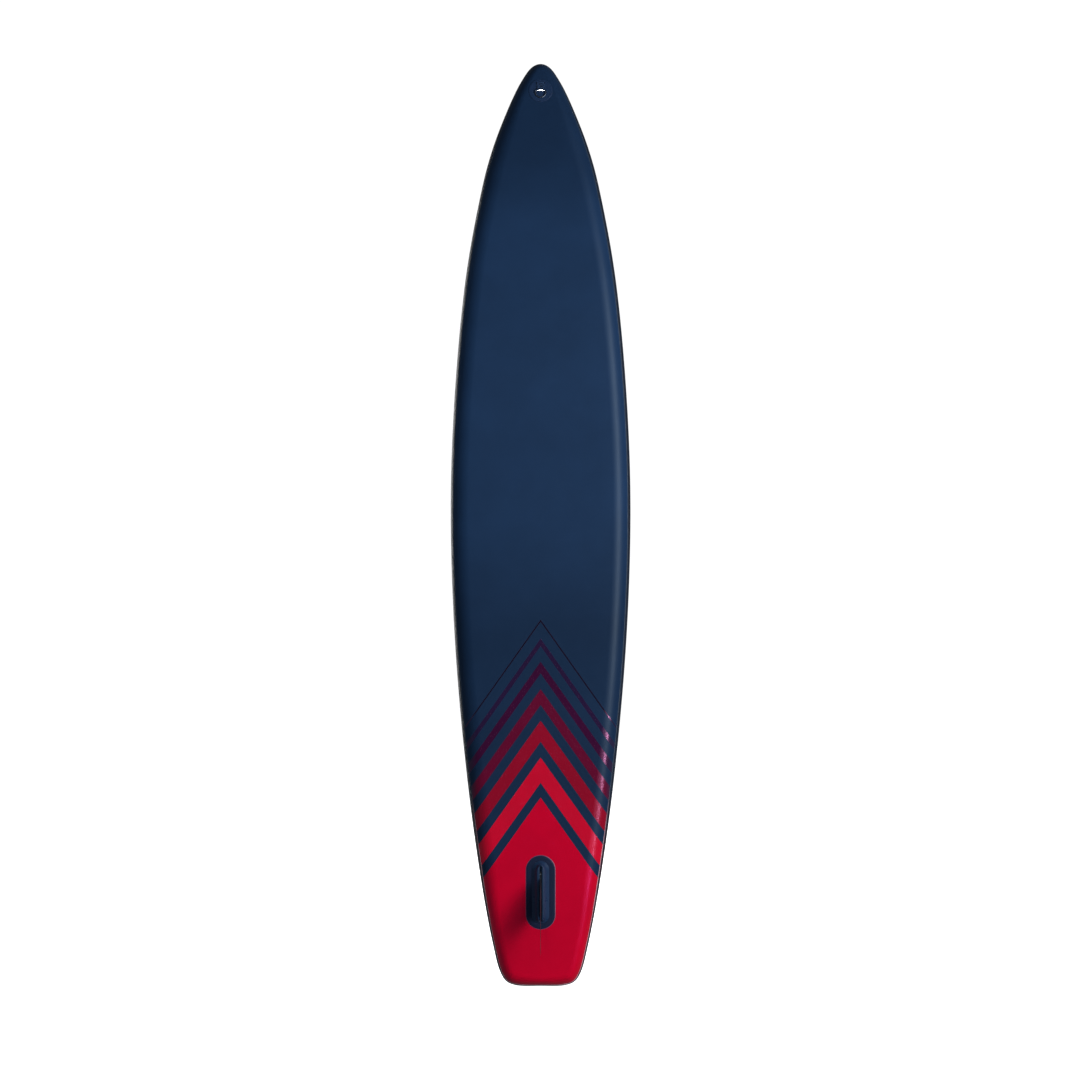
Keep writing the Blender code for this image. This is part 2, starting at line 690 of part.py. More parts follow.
def handle(name, frame, span, rise, width, patch, tip=0.0, grip=False):
    """A strap between two sewn tabs. The frame's Y runs along the strap; tip leans the strap about its ends.

    The patch's sizes are half its width, half its length and the length of the tab that is sewn to it.
    """
    foot = Matrix.Translation((0, 0, STRAP_FOOT))
    holder = pivot(f"{name}_pivot", (frame @ foot).translation)
    lean = frame @ foot @ Matrix.Rotation(tip, 4, "Y") @ foot.inverted()
    shares, path = arch(span, rise, 12)
    widths = [width - (width - STRAP_END_WIDTH) * s**4 for s in shares]
    add(f"{name}_strap", ribbon(lean, path, widths), "webbing", holder)
    flat = PATCH_TOP + GAP + STRAP / 2
    start = span + GAP
    bend = (start + 0.006, STRAP_FOOT - 0.0018)
    tab = [(start, STRAP_FOOT), bend, (start + 0.013, flat), (start + patch[2], flat)]
    spots = [STRAP_END_WIDTH, STRAP_END_WIDTH * 1.15, width * 0.8, width]
    outline = rectangle(0, start + 0.006 + patch[1], patch[0], patch[1], 0.01)
    for word, turn in (("fore", 0), ("aft", math.pi)):
        ahead = frame @ Matrix.Rotation(turn, 4, "Z")
        add(f"{name}_tab_{word}", ribbon(ahead, tab, spots), "webbing")
        add(f"{name}_patch_{word}", extruded(ahead, outline, PATCH_GAP, PATCH_TOP), "patch_pvc")
    if grip:
        add(f"{name}_grip", grip_sleeve(lean, span, rise, width), "pad_foam", holder)


def grip_sleeve(frame, span, rise, width):
    """A padded sleeve round the middle of the strap, open at both ends."""
    shares, path = arch(span, rise, 12)
    chosen = [i for i, s in enumerate(shares) if abs(s) < 0.52]
    outer, inner = [], []
    for i in chosen:
        y, height = path[i]
        fat = 0.0075 if abs(shares[i]) < 0.45 else 0.0055
        around = rectangle(0, 0, width / 2 + 0.005, fat, 0.005, 2)
        core_line = rectangle(0, 0, width / 2 + GAP, STRAP / 2 + 0.0006, 0.0005, 2)
        outer.append([frame @ Vector((x, y, height + h)) for x, h in around])
        inner.append([frame @ Vector((x, y, height + h)) for x, h in core_line])
    return tube(outer, inner)


def handles():
    frame = on_hull(0, HANDLE_Z, 1)
    handle("centre_handle", frame, 0.118, 0.032, STRAP_WIDTH, (0.035, 0.028, 0.05), grip=True)
    frame = on_hull(0, NOSE_HANDLE_Z, 1) @ Matrix.Rotation(math.pi / 2, 4, "Z")
    handle("nose_handle", frame, 0.058, 0.026, 0.024, (0.026, 0.0155, 0.034), tip=NOSE_HANDLE_DROOP)


# ---------------------------------------------------------------- valve


def valve():
    frame = on_hull(VALVE_X, VALVE_Z, 1)
    inside, outside = BARREL + GAP, FLANGE - 0.001
    gasket = [(inside, GAP), (outside, GAP), (outside, 0.0013), (inside, 0.0013)]
    add("valve_gasket", turned(frame, gasket), "seal_rubber")
    body = [
        (THROAT, 0.0056), (FLANGE - 0.003, 0.0056), (FLANGE, 0.0038), (FLANGE, 0.0016), (BARREL, 0.0016),
        (BARREL, -0.04), (THROAT + 0.001, -0.04), (THROAT + 0.001, -0.0255), (0.0098, -0.0255),
        (0.0098, -0.023), (THROAT, -0.023),
    ]
    seat = add("valve_body", turned(frame, body), "valve_plastic")
    guide = extruded(frame, rectangle(0, 0, THROAT + 0.001, 0.0022, 0.0005, 1), -0.0203, -0.0173)
    join_or_cut(seat, guide, "UNION")
    join_or_cut(seat, extruded(frame, circle(0.0047, 16), -0.0208, -0.0168), "UNION")
    join_or_cut(seat, extruded(frame, circle(0.0022, 12), -0.022, -0.015), "DIFFERENCE")
    top = -(WALL_DEPTH - SKIN_DEPTH + CLOTH + GAP)
    low = top - 0.005
    nut = [(inside, top), (0.031, top), (0.031, top - 0.003), (0.027, low), (inside, low)]
    add("valve_nut", turned(frame, nut), "valve_plastic")

    presser = pivot("valve_poppet_pivot", frame @ Vector((0, 0, -0.004)))
    poppet = [
        (0, -0.004), (0.005, -0.004), (0.0055, -0.0048), (0.0055, -0.0068), (0.0018, -0.0068),
        (0.0018, -0.0258), (0.0086, -0.0258), (0.0086, -0.0276), (0.0124, -0.0276), (0.0124, -0.03),
        (0, -0.03),
    ]
    add("valve_poppet", turned(frame, poppet, 20), "valve_plastic", presser)
    seal = [(0.0089, -0.0258), (0.0122, -0.0258), (0.0122, -0.0273), (0.0089, -0.0273)]
    add("valve_seal", turned(frame, seal, 20), "seal_rubber", presser)
    spring(frame)

    hinge = Vector((0, CAP_HINGE_Y, CAP_HINGE_HEIGHT))
    swinger = pivot("valve_cap_pivot", frame @ hinge)
    cap = [
        (0, 0.0096), (0.0195, 0.0096), (0.0215, 0.0084), (0.0215, 0.0059), (0.0112, 0.0059),
        (0.0106, 0.0042), (0.0086, 0.0042), (0.0086, 0.0072), (0, 0.0072),
    ]
    lid = add("valve_cap", turned(frame, cap), "valve_plastic", swinger)
    tongue = extruded(frame, rectangle(0, 0.0205, 0.004, 0.0021, 0.0008, 1), 0.0068, 0.0092)
    join_or_cut(lid, tongue, "UNION")
    near, far = CAP_HINGE_Y - GAP, CAP_HINGE_Y + 0.0028
    strap = [(near, 0.0059), (far, 0.0059), (far, 0.0078), (near, 0.0066)]
    add("valve_cap_strap", extruded(frame @ SIDE_VIEW, strap, -0.006, 0.006), "seal_rubber")


def spring(frame):
    """A coil between the stem's guide and the poppet's button."""
    turns, wire, radius = 3, 0.0005, 0.0037
    low, high = -0.0168 + GAP + wire, -0.0068 - GAP - wire
    curve = bpy.data.curves.new("valve_spring", "CURVE")
    curve.dimensions = "3D"
    curve.bevel_depth = wire
    curve.bevel_resolution = 0
    curve.use_fill_caps = True
    line = curve.splines.new("POLY")
    count = turns * 12
    line.points.add(count)
    for k, point in enumerate(line.points):
        a = 2 * math.pi * turns * k / count
        place = frame @ Vector((radius * math.cos(a), radius * math.sin(a), low + (high - low) * k / count))
        point.co = (*place, 1)
    curve.materials.append(material("steel"))
    bpy.context.collection.objects.link(bpy.data.objects.new("valve_spring", curve))


def main():
    clear_scene()
    hull()
    pads()
    fin_box()
    fin()
    rings()
    handles()
    valve()


main()
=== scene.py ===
"""The looks of an inflatable touring stand up paddleboard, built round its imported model.

+Z runs from the tail to the nose, the underside faces -Y and the deck faces +Y.
"""

import json
from math import atan, copysign, cos, exp, pi, radians, sin, sqrt

import bmesh
import bpy
import numpy as np
from mathutils import Matrix, Vector


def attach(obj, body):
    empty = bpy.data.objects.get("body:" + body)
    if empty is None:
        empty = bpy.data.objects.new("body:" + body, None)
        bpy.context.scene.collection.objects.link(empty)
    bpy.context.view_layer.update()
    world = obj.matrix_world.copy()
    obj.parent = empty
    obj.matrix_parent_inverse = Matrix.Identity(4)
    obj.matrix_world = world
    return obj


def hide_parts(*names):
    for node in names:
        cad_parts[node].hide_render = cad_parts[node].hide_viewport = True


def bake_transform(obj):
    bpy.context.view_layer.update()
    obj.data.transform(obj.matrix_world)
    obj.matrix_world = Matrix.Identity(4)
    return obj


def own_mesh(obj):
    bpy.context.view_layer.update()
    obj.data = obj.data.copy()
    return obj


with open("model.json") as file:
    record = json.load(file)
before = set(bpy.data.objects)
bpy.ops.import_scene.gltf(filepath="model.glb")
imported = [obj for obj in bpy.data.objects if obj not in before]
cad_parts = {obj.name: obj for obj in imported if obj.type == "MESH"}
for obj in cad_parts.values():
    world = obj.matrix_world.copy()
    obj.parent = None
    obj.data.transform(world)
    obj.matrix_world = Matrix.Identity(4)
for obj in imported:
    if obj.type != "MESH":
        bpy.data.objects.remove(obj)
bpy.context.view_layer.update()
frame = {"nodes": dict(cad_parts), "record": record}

# -------- sizes, in metres

LENGTH = 3.81
THICKNESS = 0.152
# Half of the outline, as (x, z), from the middle of the tail to the nose
OUTLINE = [
    (0, 0), (0.096, 0.002), (0.139, 0.017), (0.166, 0.057), (0.1965, 0.172), (0.243, 0.42),
    (0.3, 0.834), (0.352, 1.413), (0.3695, 1.95), (0.3545, 2.406), (0.309, 2.902), (0.252, 3.233),
    (0.213, 3.4), (0.157, 3.564), (0.083, 3.73), (0.035, 3.797), (0, LENGTH),
]
NOSE_LIFT = 0.15
LIFT_START = 2.55
# How far inwards the rounded side reaches: along the middle, at the tail and at the nose
SIDE_REACH, TAIL_REACH, NOSE_REACH = 0.076, 0.055, 0.042
# The share of it that is left at the very ends, which keeps the inner rows in order there
END_REACH = 0.84
# Distance between the visual model's stations, and that near the tail and the nose
STEP, END_STEP = 0.014, 0.0065
# The rail band's thickness, and its edges in degrees round the side
BAND, BAND_EDGE = 0.001, 30.0
GAP = 0.0003
SKIN_DEPTH = BAND + GAP
SKIN = 0.0012
FACE = THICKNESS / 2 - SKIN_DEPTH

PAD_ENDS = (0.2, 2.42)
PAD_MARGIN = 0.098
PAD_TOP = 0.0053
PAD_BASE = 0.0033
PAD_BORDER = 0.021
TILE_HALF, TILE_GROOVE, TILE_LEAST = (0.0205, 0.033), 0.0024, 0.007
TILE_EDGE = [(0, PAD_BASE - 0.0004), (0, 0.0045), (0.0006, 0.0050), (0.0018, PAD_TOP - 0.0001)]
KICK_HALF = 0.104
KICK_HEIGHT = 0.02
# The kick pad's cross section, as (z, share of its height), and its grooves
KICK_ARCH = [
    (0.232, 0), (0.2345, 0.42), (0.238, 0.74), (0.243, 0.93), (0.25, 1), (0.259, 0.95), (0.267, 0.78),
    (0.276, 0.5), (0.285, 0.2), (0.292, 0),
]
KICK_GROOVES = (0.243, 0.253, 0.263, 0.273)
KICK_GROOVE_DEPTH, KICK_GROOVE_WIDTH = 0.0026, 0.0016
HANDLE_Z, NOSE_HANDLE_Z = 1.8, 3.5
# The pad's opening: x, z, half width, half length and corner radius
PAD_HOLE = (0, HANDLE_Z, 0.046, 0.19, 0.04)

BOX_MIDDLE = 0.392
SLOT = (0.272, 0.502)
SLOT_WIDTH = 0.0095
SLOT_FLOOR = 0.0028
GROOVE_WIDTH = 0.0155
GROOVE = (0.01, 0.0145)
BOX_HEIGHT = 0.026

BLADE_BASE = (0.3, 0.452)
BLADE_DEPTH, BLADE_RAKE = 0.232, 0.201
BLADE_ROOT, BLADE_THICK = 0.0202, 0.0043
TAB_HALF, TAB_TOP = 0.0044, 0.0215
SCREW_Z, SCREW_HOLE = 0.468, 0.0024
PIN_Z, PIN_HEIGHT, PIN_HOLE = 0.31, 0.01225, 0.0023

RING_WIRE = 0.00225
RING_HALF = 0.02125
RING_DROP = 0.0305
NOSE_RING_TILT = radians(3)
WEBBING = 0.0014
LOOP_WIDTH = 0.033
LOOP_BORE = RING_WIRE + 0.0006
LOOP_TAIL = 0.036
PATCH_TOP = 0.0021
BAR_HEIGHT = PATCH_TOP + GAP + LOOP_BORE + WEBBING
# Each ring's x, z, side and patch radius
RINGS = {
    "nose_tow": (0, 3.685, -1, 0.049),
    "leash": (0, 0.118, 1, 0.04),
    "cargo_1": (-0.18, 2.66, 1, 0.04),
    "cargo_2": (0.18, 2.66, 1, 0.04),
    "cargo_3": (-0.15, 3.06, 1, 0.04),
    "cargo_4": (0.15, 3.06, 1, 0.04),
}
STRAP = 0.0025
STRAP_FOOT = 0.0085
STRAP_END = 0.014
STITCH_PITCH, STITCH, THREAD = 0.0036, 0.0027, 0.00036
STITCH_MARGIN = 0.0035
NOSE_HANDLE_DROOP = radians(-40)

VALVE_X, VALVE_Z = -0.086, 0.118
BARREL, THROAT, FLANGE = 0.019, 0.013, 0.029

# The print's chevrons, as (lowest, highest height of the tip, colour), above the plain red field
ARM_SLOPE = 1.41
PRINT_SPAN = (0.5, 1.6)
FIELD_TOP = 0.776
FIELD_COLOUR = (0.395, 0.0004, 0.0120)
CHEVRONS = [
    (0.836, 0.940, (0.41, 0.0004, 0.0145)),
    (1.006, 1.089, (0.195, 0.0004, 0.0100)),
    (1.154, 1.221, (0.080, 0.0003, 0.0140)),
    (1.286, 1.330, (0.023, 0.0005, 0.0175)),
    (1.396, 1.424, (0.0075, 0.0040, 0.024)),
    (1.495, 1.505, (0.0001, 0.0012, 0.0060)),
]
# The print fades between these distances from the middle
PRINT_HALF = (0.262, 0.284)
DECK_SPAN = (2.4, 4.4)
NAVY = (0.0078, 0.0232, 0.0610)


# -------- camera, lights and floor


def add(name, data):
    obj = bpy.data.objects.new(name, data)
    bpy.context.scene.collection.objects.link(obj)
    return obj


def light(name, place, target, size, power, mirrored=True):
    """A softbox. One that isn't mirrored lights surfaces but never shows as a highlight."""
    data = bpy.data.lights.new(name, "AREA")
    data.shape = "RECTANGLE"
    data.size, data.size_y = size
    data.energy = power
    obj = add(name, data)
    obj.visible_glossy = mirrored
    obj.location = place
    obj.rotation_euler = (Vector(target) - obj.location).to_track_quat("-Z", "Y").to_euler()
    return obj


def camera():
    data = bpy.data.cameras.new("camera")
    data.sensor_width = 36
    data.lens = 97.32
    data.clip_end = 200
    obj = add("camera", data)
    obj.location = (-0.0025, -12, 1.8311)
    obj.rotation_euler = (pi / 2, 0, 0)
    bpy.context.scene.camera = obj


def surroundings():
    """Softboxes, and a background that is white to the camera but dim to the board, which mirrors it."""
    world = bpy.data.worlds.new("studio")
    bpy.context.scene.world = world
    world.use_nodes = True
    tree = world.node_tree
    back, seen = tree.nodes["Background"], tree.nodes.new("ShaderNodeBackground")
    for node, colour, strength in ((back, (0.8, 0.9, 1, 1), 0.11), (seen, (1, 1, 1, 1), 1.05)):
        node.inputs["Color"].default_value = colour
        node.inputs["Strength"].default_value = strength
    path = tree.nodes.new("ShaderNodeLightPath")
    mix = tree.nodes.new("ShaderNodeMixShader")
    for source, target in zip((path.outputs["Is Camera Ray"], back.outputs[0], seen.outputs[0]), mix.inputs):
        tree.links.new(source, target)
    tree.links.new(mix.outputs[0], tree.nodes["World Output"].inputs["Surface"])
    light("right_streak", (5.4, -5.2, 2.2), (0, 0, 1.7), (1.5, 4.8), 400)
    light("right_glow", (3.4, -6.2, 2.2), (0, 0, 1.7), (3.0, 4.8), 58)
    light("right_key", (5.6, -6.2, 2.9), (0, 0, 1.7), (4.5, 5.5), 415, False)
    light("front_fill", (-1.0, -13.5, 3.4), (0, 0, 1.9), (3.0, 3.0), 420, False)
    light("back_glint", (-5.0, 6.5, 2.6), (0, 0, 1.7), (2.0, 4.2), 150)
    light("back_right", (5.0, 5.6, 3.4), (0, 0, 1.6), (2.5, 4.4), 420, False)
    light("back_left", (-5.2, 5.0, 2.4), (0, 0, 1.8), (2.5, 4.4), 300, False)
    glint = light("nose_glint", (0, -5.0, 0.6), (0, 0.04, 3.685), (1.2, 1.2), 4000)
    glint.visible_diffuse = False
    glint.light_linking.receiver_collection = bpy.data.collections.new("nose_glint")


def floor():
    mesh = bpy.data.meshes.new("floor")
    corners = [(14 * a, 14 * b, 0) for a, b in ((-1, -1), (1, -1), (1, 1), (-1, 1))]
    mesh.from_pydata(corners, [], [(0, 1, 2, 3)])
    obj = add("floor", mesh)
    glow = {"Emission_Color": (1, 1, 1), "Emission_Strength": 1.1}
    mesh.materials.append(Paint("floor", (0.86, 0.87, 0.88), 0.9, Specular_IOR_Level=0.1, **glow).material)
    obj.visible_glossy = False
    obj.visible_diffuse = False


# -------- materials


FINISHES = {}


class Paint:
    """A node material, kept in FINISHES. Its methods take sockets or numbers and return sockets."""

    def __init__(self, name, colour=(0.5, 0.5, 0.5), roughness=0.5, **more):
        self.material = FINISHES[name] = bpy.data.materials.new(name)
        self.material.use_nodes = True
        self.tree = self.material.node_tree
        self.shader = self.tree.nodes["Principled BSDF"]
        self.height = None
        self.set("Base Color", colour)
        self.set("Roughness", roughness)
        for word, value in more.items():
            self.set(word.replace("_", " "), value)
        self.place = self.node("TexCoord").outputs["Object"]
        self.x, self.y, self.z = self.node("SeparateXYZ", Vector=self.place).outputs

    def node(self, kind, **inputs):
        """Adds a shader node with those inputs; _ stands for a space in their names."""
        node = self.tree.nodes.new("ShaderNode" + kind)
        for word, value in inputs.items():
            self.put(node.inputs[word.replace("_", " ")], value)
        return node

    def set(self, name, value):
        self.put(self.shader.inputs[name], value)

    def put(self, socket, value):
        if isinstance(value, bpy.types.NodeSocket):
            self.tree.links.new(value, socket)
        else:
            socket.default_value = (*value, 1) if socket.type == "RGBA" else value

    def math(self, operation, a, b=0.0):
        node = self.node("Math")
        node.operation = operation
        for socket, value in zip(node.inputs, (a, b)):
            self.put(socket, value)
        return node.outputs[0]

    def noise(self, scale, detail=2.0, roughness=0.5, stretch=None):
        at = self.node("Mapping", Vector=self.place, Scale=stretch).outputs[0] if stretch else self.place
        node = self.node("TexNoise", Vector=at, Scale=scale, Detail=detail, Roughness=roughness)
        return node.outputs["Fac"]

    def vary(self, low, high, *noise):
        """A number that wanders between the two, with noise of that scale, detail and roughness."""
        return self.span(self.noise(*noise), 0.3, 0.7, low, high)

    def wave(self, along, pitch):
        return self.math("SINE", self.math("MULTIPLY", along, 2 * pi / pitch))

    def weave(self, pitch, other=None):
        """Crossed threads, from -1 to 1."""
        return self.math("MULTIPLY", self.wave(self.x, pitch), self.wave(self.z, other or pitch))

    def span(self, value, low, high, start=0.0, end=1.0):
        """The value, taken from low..high to start..end and held at both."""
        node = self.node("MapRange", Value=value, From_Min=low, From_Max=high, To_Min=start, To_Max=end)
        return node.outputs["Result"]

    def bands(self, value, low, high, stops):
        """A colour that changes at each (value, colour) stop."""
        node = self.node("ValToRGB", Fac=self.span(value, low, high))
        node.color_ramp.interpolation = "CONSTANT"
        elements = node.color_ramp.elements
        while len(elements) > 1:
            elements.remove(elements[-1])
        for i, (at, colour) in enumerate(stops):
            spot = (at - low) / (high - low)
            element = elements[0] if i == 0 else elements.new(spot)
            element.position = spot
            element.color = (*colour, 1)
        return node.outputs["Color"]

    def mix(self, share, a, b):
        node = self.node("Mix")
        node.data_type = "RGBA"
        self.put(node.inputs["Factor"], share)
        for word, value in (("A", a), ("B", b)):
            self.put(next(s for s in node.inputs if s.name == word and s.type == "RGBA"), value)
        return next(s for s in node.outputs if s.type == "RGBA")

    def shaded(self, colour, factor):
        """The colour times a grey socket."""
        node = self.node("VectorMath")
        node.operation = "SCALE"
        self.put(node.inputs[0], colour)
        self.put(node.inputs["Scale"], factor)
        return node.outputs[0]

    def bump(self, value, distance, strength):
        """Adds relief of that depth; later calls add to it."""
        node = self.node("Bump", Strength=strength, Distance=distance, Height=value)
        if self.height:
            self.put(node.inputs["Normal"], self.height)
        self.height = node.outputs[0]
        self.set("Normal", self.height)


def underside_material():
    """Coated fabric with the printed chevrons, which are glossier and fade out beside the rail."""
    p = Paint("underside_pvc", roughness=0.4, Specular_IOR_Level=0.36)
    away = p.math("ABSOLUTE", p.x)
    rise = p.math("ADD", p.z, p.math("MULTIPLY", away, ARM_SLOPE))
    plain, field, stripe = (0.7, 0.88, 1.0), (1.0, 0.14, 0.7), (1.0, 0.38, 0.72)
    stops, marks, tints = [], [], []
    for low, high, colour in ((PRINT_SPAN[0], FIELD_TOP, FIELD_COLOUR), *CHEVRONS):
        stops += [(low, colour), (high, NAVY)]
        marks += [(low, (1, 1, 1)), (high, (0, 0, 0))]
        tints += [(low, stripe if tints else field), (high, plain)]
    colour, printed = (p.bands(rise, *PRINT_SPAN, given) for given in (stops, marks))
    fade = p.math("MULTIPLY", printed, p.span(away, *PRINT_HALF, 0.0, 0.8))
    colour = p.mix(fade, colour, (0.010, 0.012, 0.034))
    # Painted shade: the plain navy is darkened by up to 0.3 below a height of 1.9 and by up to 0.28 above
    # 3.1, towards the lifted nose; the printed stripes are left as they are.
    painted_shade = p.math("ADD", p.span(p.z, 1.9, 1.5, 0.0, 0.3), p.span(p.z, 3.1, 3.4, 0.0, 0.28))
    painted_shade = p.math("MULTIPLY", painted_shade, p.math("SUBTRACT", 1.0, printed))
    colour = p.shaded(colour, p.math("SUBTRACT", 1.0, painted_shade))
    mottle = p.vary(0.92, 1.08, 5, 4, 0.55)
    threads = p.span(p.weave(0.0031, 0.0047), -1, 1, 0.955, 1.045)
    p.set("Base Color", p.shaded(p.shaded(colour, mottle), threads))
    worn = p.span(p.noise(38, 5, 0.7), 0.35, 0.75, -0.02, 0.035)
    p.set("Roughness", p.math("ADD", p.span(printed, 0, 1, 0.41, 0.22), worn))
    p.set("Specular IOR Level", p.span(printed, 0, 1, 0.16, 0.95))
    p.set("Specular Tint", p.bands(rise, *PRINT_SPAN, tints))
    p.bump(p.noise(2.2, 1, 0.4, (1, 1, 0.3)), 0.003, 0.3)
    p.bump(p.wave(p.z, 0.0115), 0.00003, 0.5)
    p.bump(p.weave(0.0016), 0.00005, 0.4)


def rail_material():
    """Dark coated fabric, warmer round the red tail."""
    p = Paint("rail_pvc", roughness=0.45, Specular_IOR_Level=0.35)
    colour = p.mix(p.span(p.z, 0.5, 0.8), (0.018, 0.006, 0.014), (0.0048, 0.0085, 0.019))
    p.set("Base Color", p.shaded(colour, p.vary(0.92, 1.08, 14, 4, 0.6)))
    p.set("Roughness", p.vary(0.4, 0.51, 45, 4, 0.65))
    p.bump(p.noise(9, 2), 0.0012, 0.3)
    p.bump(p.math("MULTIPLY", p.wave(p.y, 0.0014), p.wave(p.z, 0.0014)), 0.00012, 0.55)


def bead_material():
    """The welded seam: pinkish round the red tail, dark beside the navy."""
    p = Paint("seam_bead", roughness=0.4)
    colour = p.mix(p.span(p.z, 0.55, 0.8), (0.46, 0.28, 0.33), (0.022, 0.037, 0.06))
    p.set("Base Color", p.shaded(colour, p.vary(0.85, 1.15, 30, 3)))
    p.bump(p.noise(90, 2), 0.0002, 0.4)


def coated(name, colour, roughness, pitch=0.0016, **more):
    """Coated fabric: threads under a satin skin, with slight unevenness."""
    p = Paint(name, roughness=roughness, **more)
    p.set("Base Color", p.shaded(colour, p.vary(0.92, 1.08, 14, 4, 0.6)))
    p.set("Roughness", p.vary(roughness - 0.05, roughness + 0.06, 45, 4, 0.65))
    p.bump(p.noise(9, 2), 0.0012, 0.3)
    p.bump(p.weave(pitch), 0.00012, 0.55)


def deck_material():
    """Pale coated fabric, with a red and a navy chevron below the navy nose."""
    p = Paint("deck_pvc", roughness=0.42, Specular_IOR_Level=0.4)
    rise = p.math("ADD", p.z, p.math("MULTIPLY", p.math("ABSOLUTE", p.x), ARM_SLOPE))
    pale, red = (0.50, 0.53, 0.56), (0.36, 0.002, 0.016)
    stops = [(DECK_SPAN[0], pale), (3.34, red), (3.372, pale), (3.412, NAVY), (3.472, pale), (3.502, NAVY)]
    p.set("Base Color", p.shaded(p.bands(rise, *DECK_SPAN, stops), p.vary(0.93, 1.05, 7, 4, 0.55)))
    p.set("Roughness", p.vary(0.38, 0.5, 45, 4, 0.65))
    p.bump(p.noise(2.6, 2, 0.4, (1, 1, 0.35)), 0.004, 0.35)
    p.bump(p.weave(0.0016), 0.00012, 0.55)


def foam(name, colour):
    """Closed-cell foam: fine grain, matte, with a slight sheen."""
    p = Paint(name, roughness=0.88, Specular_IOR_Level=0.25, Sheen_Weight=0.15)
    wear = p.span(p.noise(6, 3), 0.35, 0.75, 0.95, 1.12)
    p.set("Base Color", p.shaded(p.shaded(colour, p.vary(0.88, 1.12, 60, 5, 0.7)), wear))
    p.bump(p.node("TexVoronoi", Vector=p.place, Scale=700).outputs["Distance"], 0.00025, 0.5)
    p.bump(p.noise(240, 3), 0.0002, 0.5)


def woven(name, colour, roughness=0.8, pitch=0.0021, relief=0.00025, **more):
    """Woven strap: a thread pattern in relief, with painted shade between the threads and painted light on
    their tops.
    """
    p = Paint(name, roughness=roughness, **more)
    threads = p.weave(pitch, pitch * 0.8)
    # Painted light and shade: the colour follows the weave's relief, darker between the threads and lighter
    # on their tops.
    p.set("Base Color", p.shaded(colour, p.span(threads, -1, 1, 0.6, 1.35)))
    p.bump(threads, relief, 0.7)
    p.bump(p.noise(160, 3), 0.0001, 0.4)


def plastic(name, colour, roughness, grain=900.0, depth=0.00006, **more):
    """Moulded plastic: fine grain, and roughness that varies with handling."""
    p = Paint(name, roughness=roughness, **more)
    p.set("Base Color", p.shaded(colour, p.vary(0.94, 1.06, 25, 4)))
    p.set("Roughness", p.vary(roughness - 0.05, roughness + 0.08, 60, 4, 0.7))
    p.bump(p.noise(grain, 2), depth, 0.6)


def metal(name, colour, roughness, stretch):
    """Polished or turned metal with fine lines."""
    p = Paint(name, roughness=roughness, Metallic=1.0)
    p.set("Base Color", p.shaded(colour, p.vary(0.93, 1.04, 90, 3)))
    lines = p.noise(500, 3, 0.6, stretch)
    p.set("Roughness", p.span(lines, 0.3, 0.7, roughness - 0.05, roughness + 0.09))
    p.bump(lines, 0.00003, 0.35)


def materials():
    underside_material()
    deck_material()
    rail_material()
    bead_material()
    coated("patch_pvc", (0.0068, 0.019, 0.052), 0.42, 0.0013, Specular_IOR_Level=0.2)
    coated("box_patch", (0.0036, 0.0085, 0.027), 0.45, 0.0013, Specular_IOR_Level=0.2)
    coated("wall_pvc", (0.33, 0.34, 0.37), 0.5)
    coated("welt", (0.11, 0.028, 0.075), 0.35, 0.002)
    foam("pad_foam", (0.026, 0.042, 0.075))
    foam("pad_base", (0.10, 0.13, 0.18))
    foam("kick_foam", (0.30, 0.006, 0.022))
    foam("grip_foam", (0.02, 0.022, 0.027))
    woven("core_cloth", (0.68, 0.68, 0.64), 0.9, 0.0024)
    woven("webbing", (0.014, 0.015, 0.018))
    shine = {"Coat_Weight": 1.0, "Coat_Roughness": 0.12, "Specular_IOR_Level": 0.0}
    woven("coated_webbing", (0.009, 0.022, 0.055), 0.7, relief=0.00005, **shine)
    woven("coated_thread", (0.009, 0.022, 0.055), 0.8, 0.0008)
    woven("thread", (0.10, 0.115, 0.14), 0.6, 0.0008)
    metal("steel", (0.66, 0.68, 0.71), 0.22, (1, 1, 0.08))
    metal("dark_steel", (0.15, 0.18, 0.23), 0.34, (1, 1, 0.08))
    metal("brass", (0.30, 0.2, 0.085), 0.34, (0.08, 1, 1))
    plastic("box_plastic", (0.0078, 0.021, 0.053), 0.3, Specular_IOR_Level=0.25)
    plastic("fin_plastic", (0.018, 0.021, 0.028), 0.34, 600.0, Specular_IOR_Level=0.3)
    plastic("valve_plastic", (0.022, 0.024, 0.028), 0.38)
    plastic("seal_rubber", (0.012, 0.012, 0.013), 0.62, 400.0, 0.0001)


# -------- meshes


def finish_mesh(name, bm, body, finish, replaces=(), angle=40.0):
    """Welds a mesh, turns it outwards and makes a piece of it."""
    bmesh.ops.remove_doubles(bm, verts=bm.verts, dist=1e-6)
    bmesh.ops.dissolve_degenerate(bm, edges=bm.edges, dist=1e-7)
    bmesh.ops.recalc_face_normals(bm, faces=bm.faces)
    if bm.calc_volume(signed=True) < 0:
        bmesh.ops.reverse_faces(bm, faces=bm.faces)
    mesh = bpy.data.meshes.new(name)
    bm.to_mesh(mesh)
    bm.free()
    mesh.materials.append(FINISHES[finish])
    mesh.shade_smooth()
    mesh.set_sharp_from_angle(angle=radians(angle))
    obj = add(name, mesh)
    if body:
        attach(obj, body)
    if replaces:
        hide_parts(*replaces)
    return obj


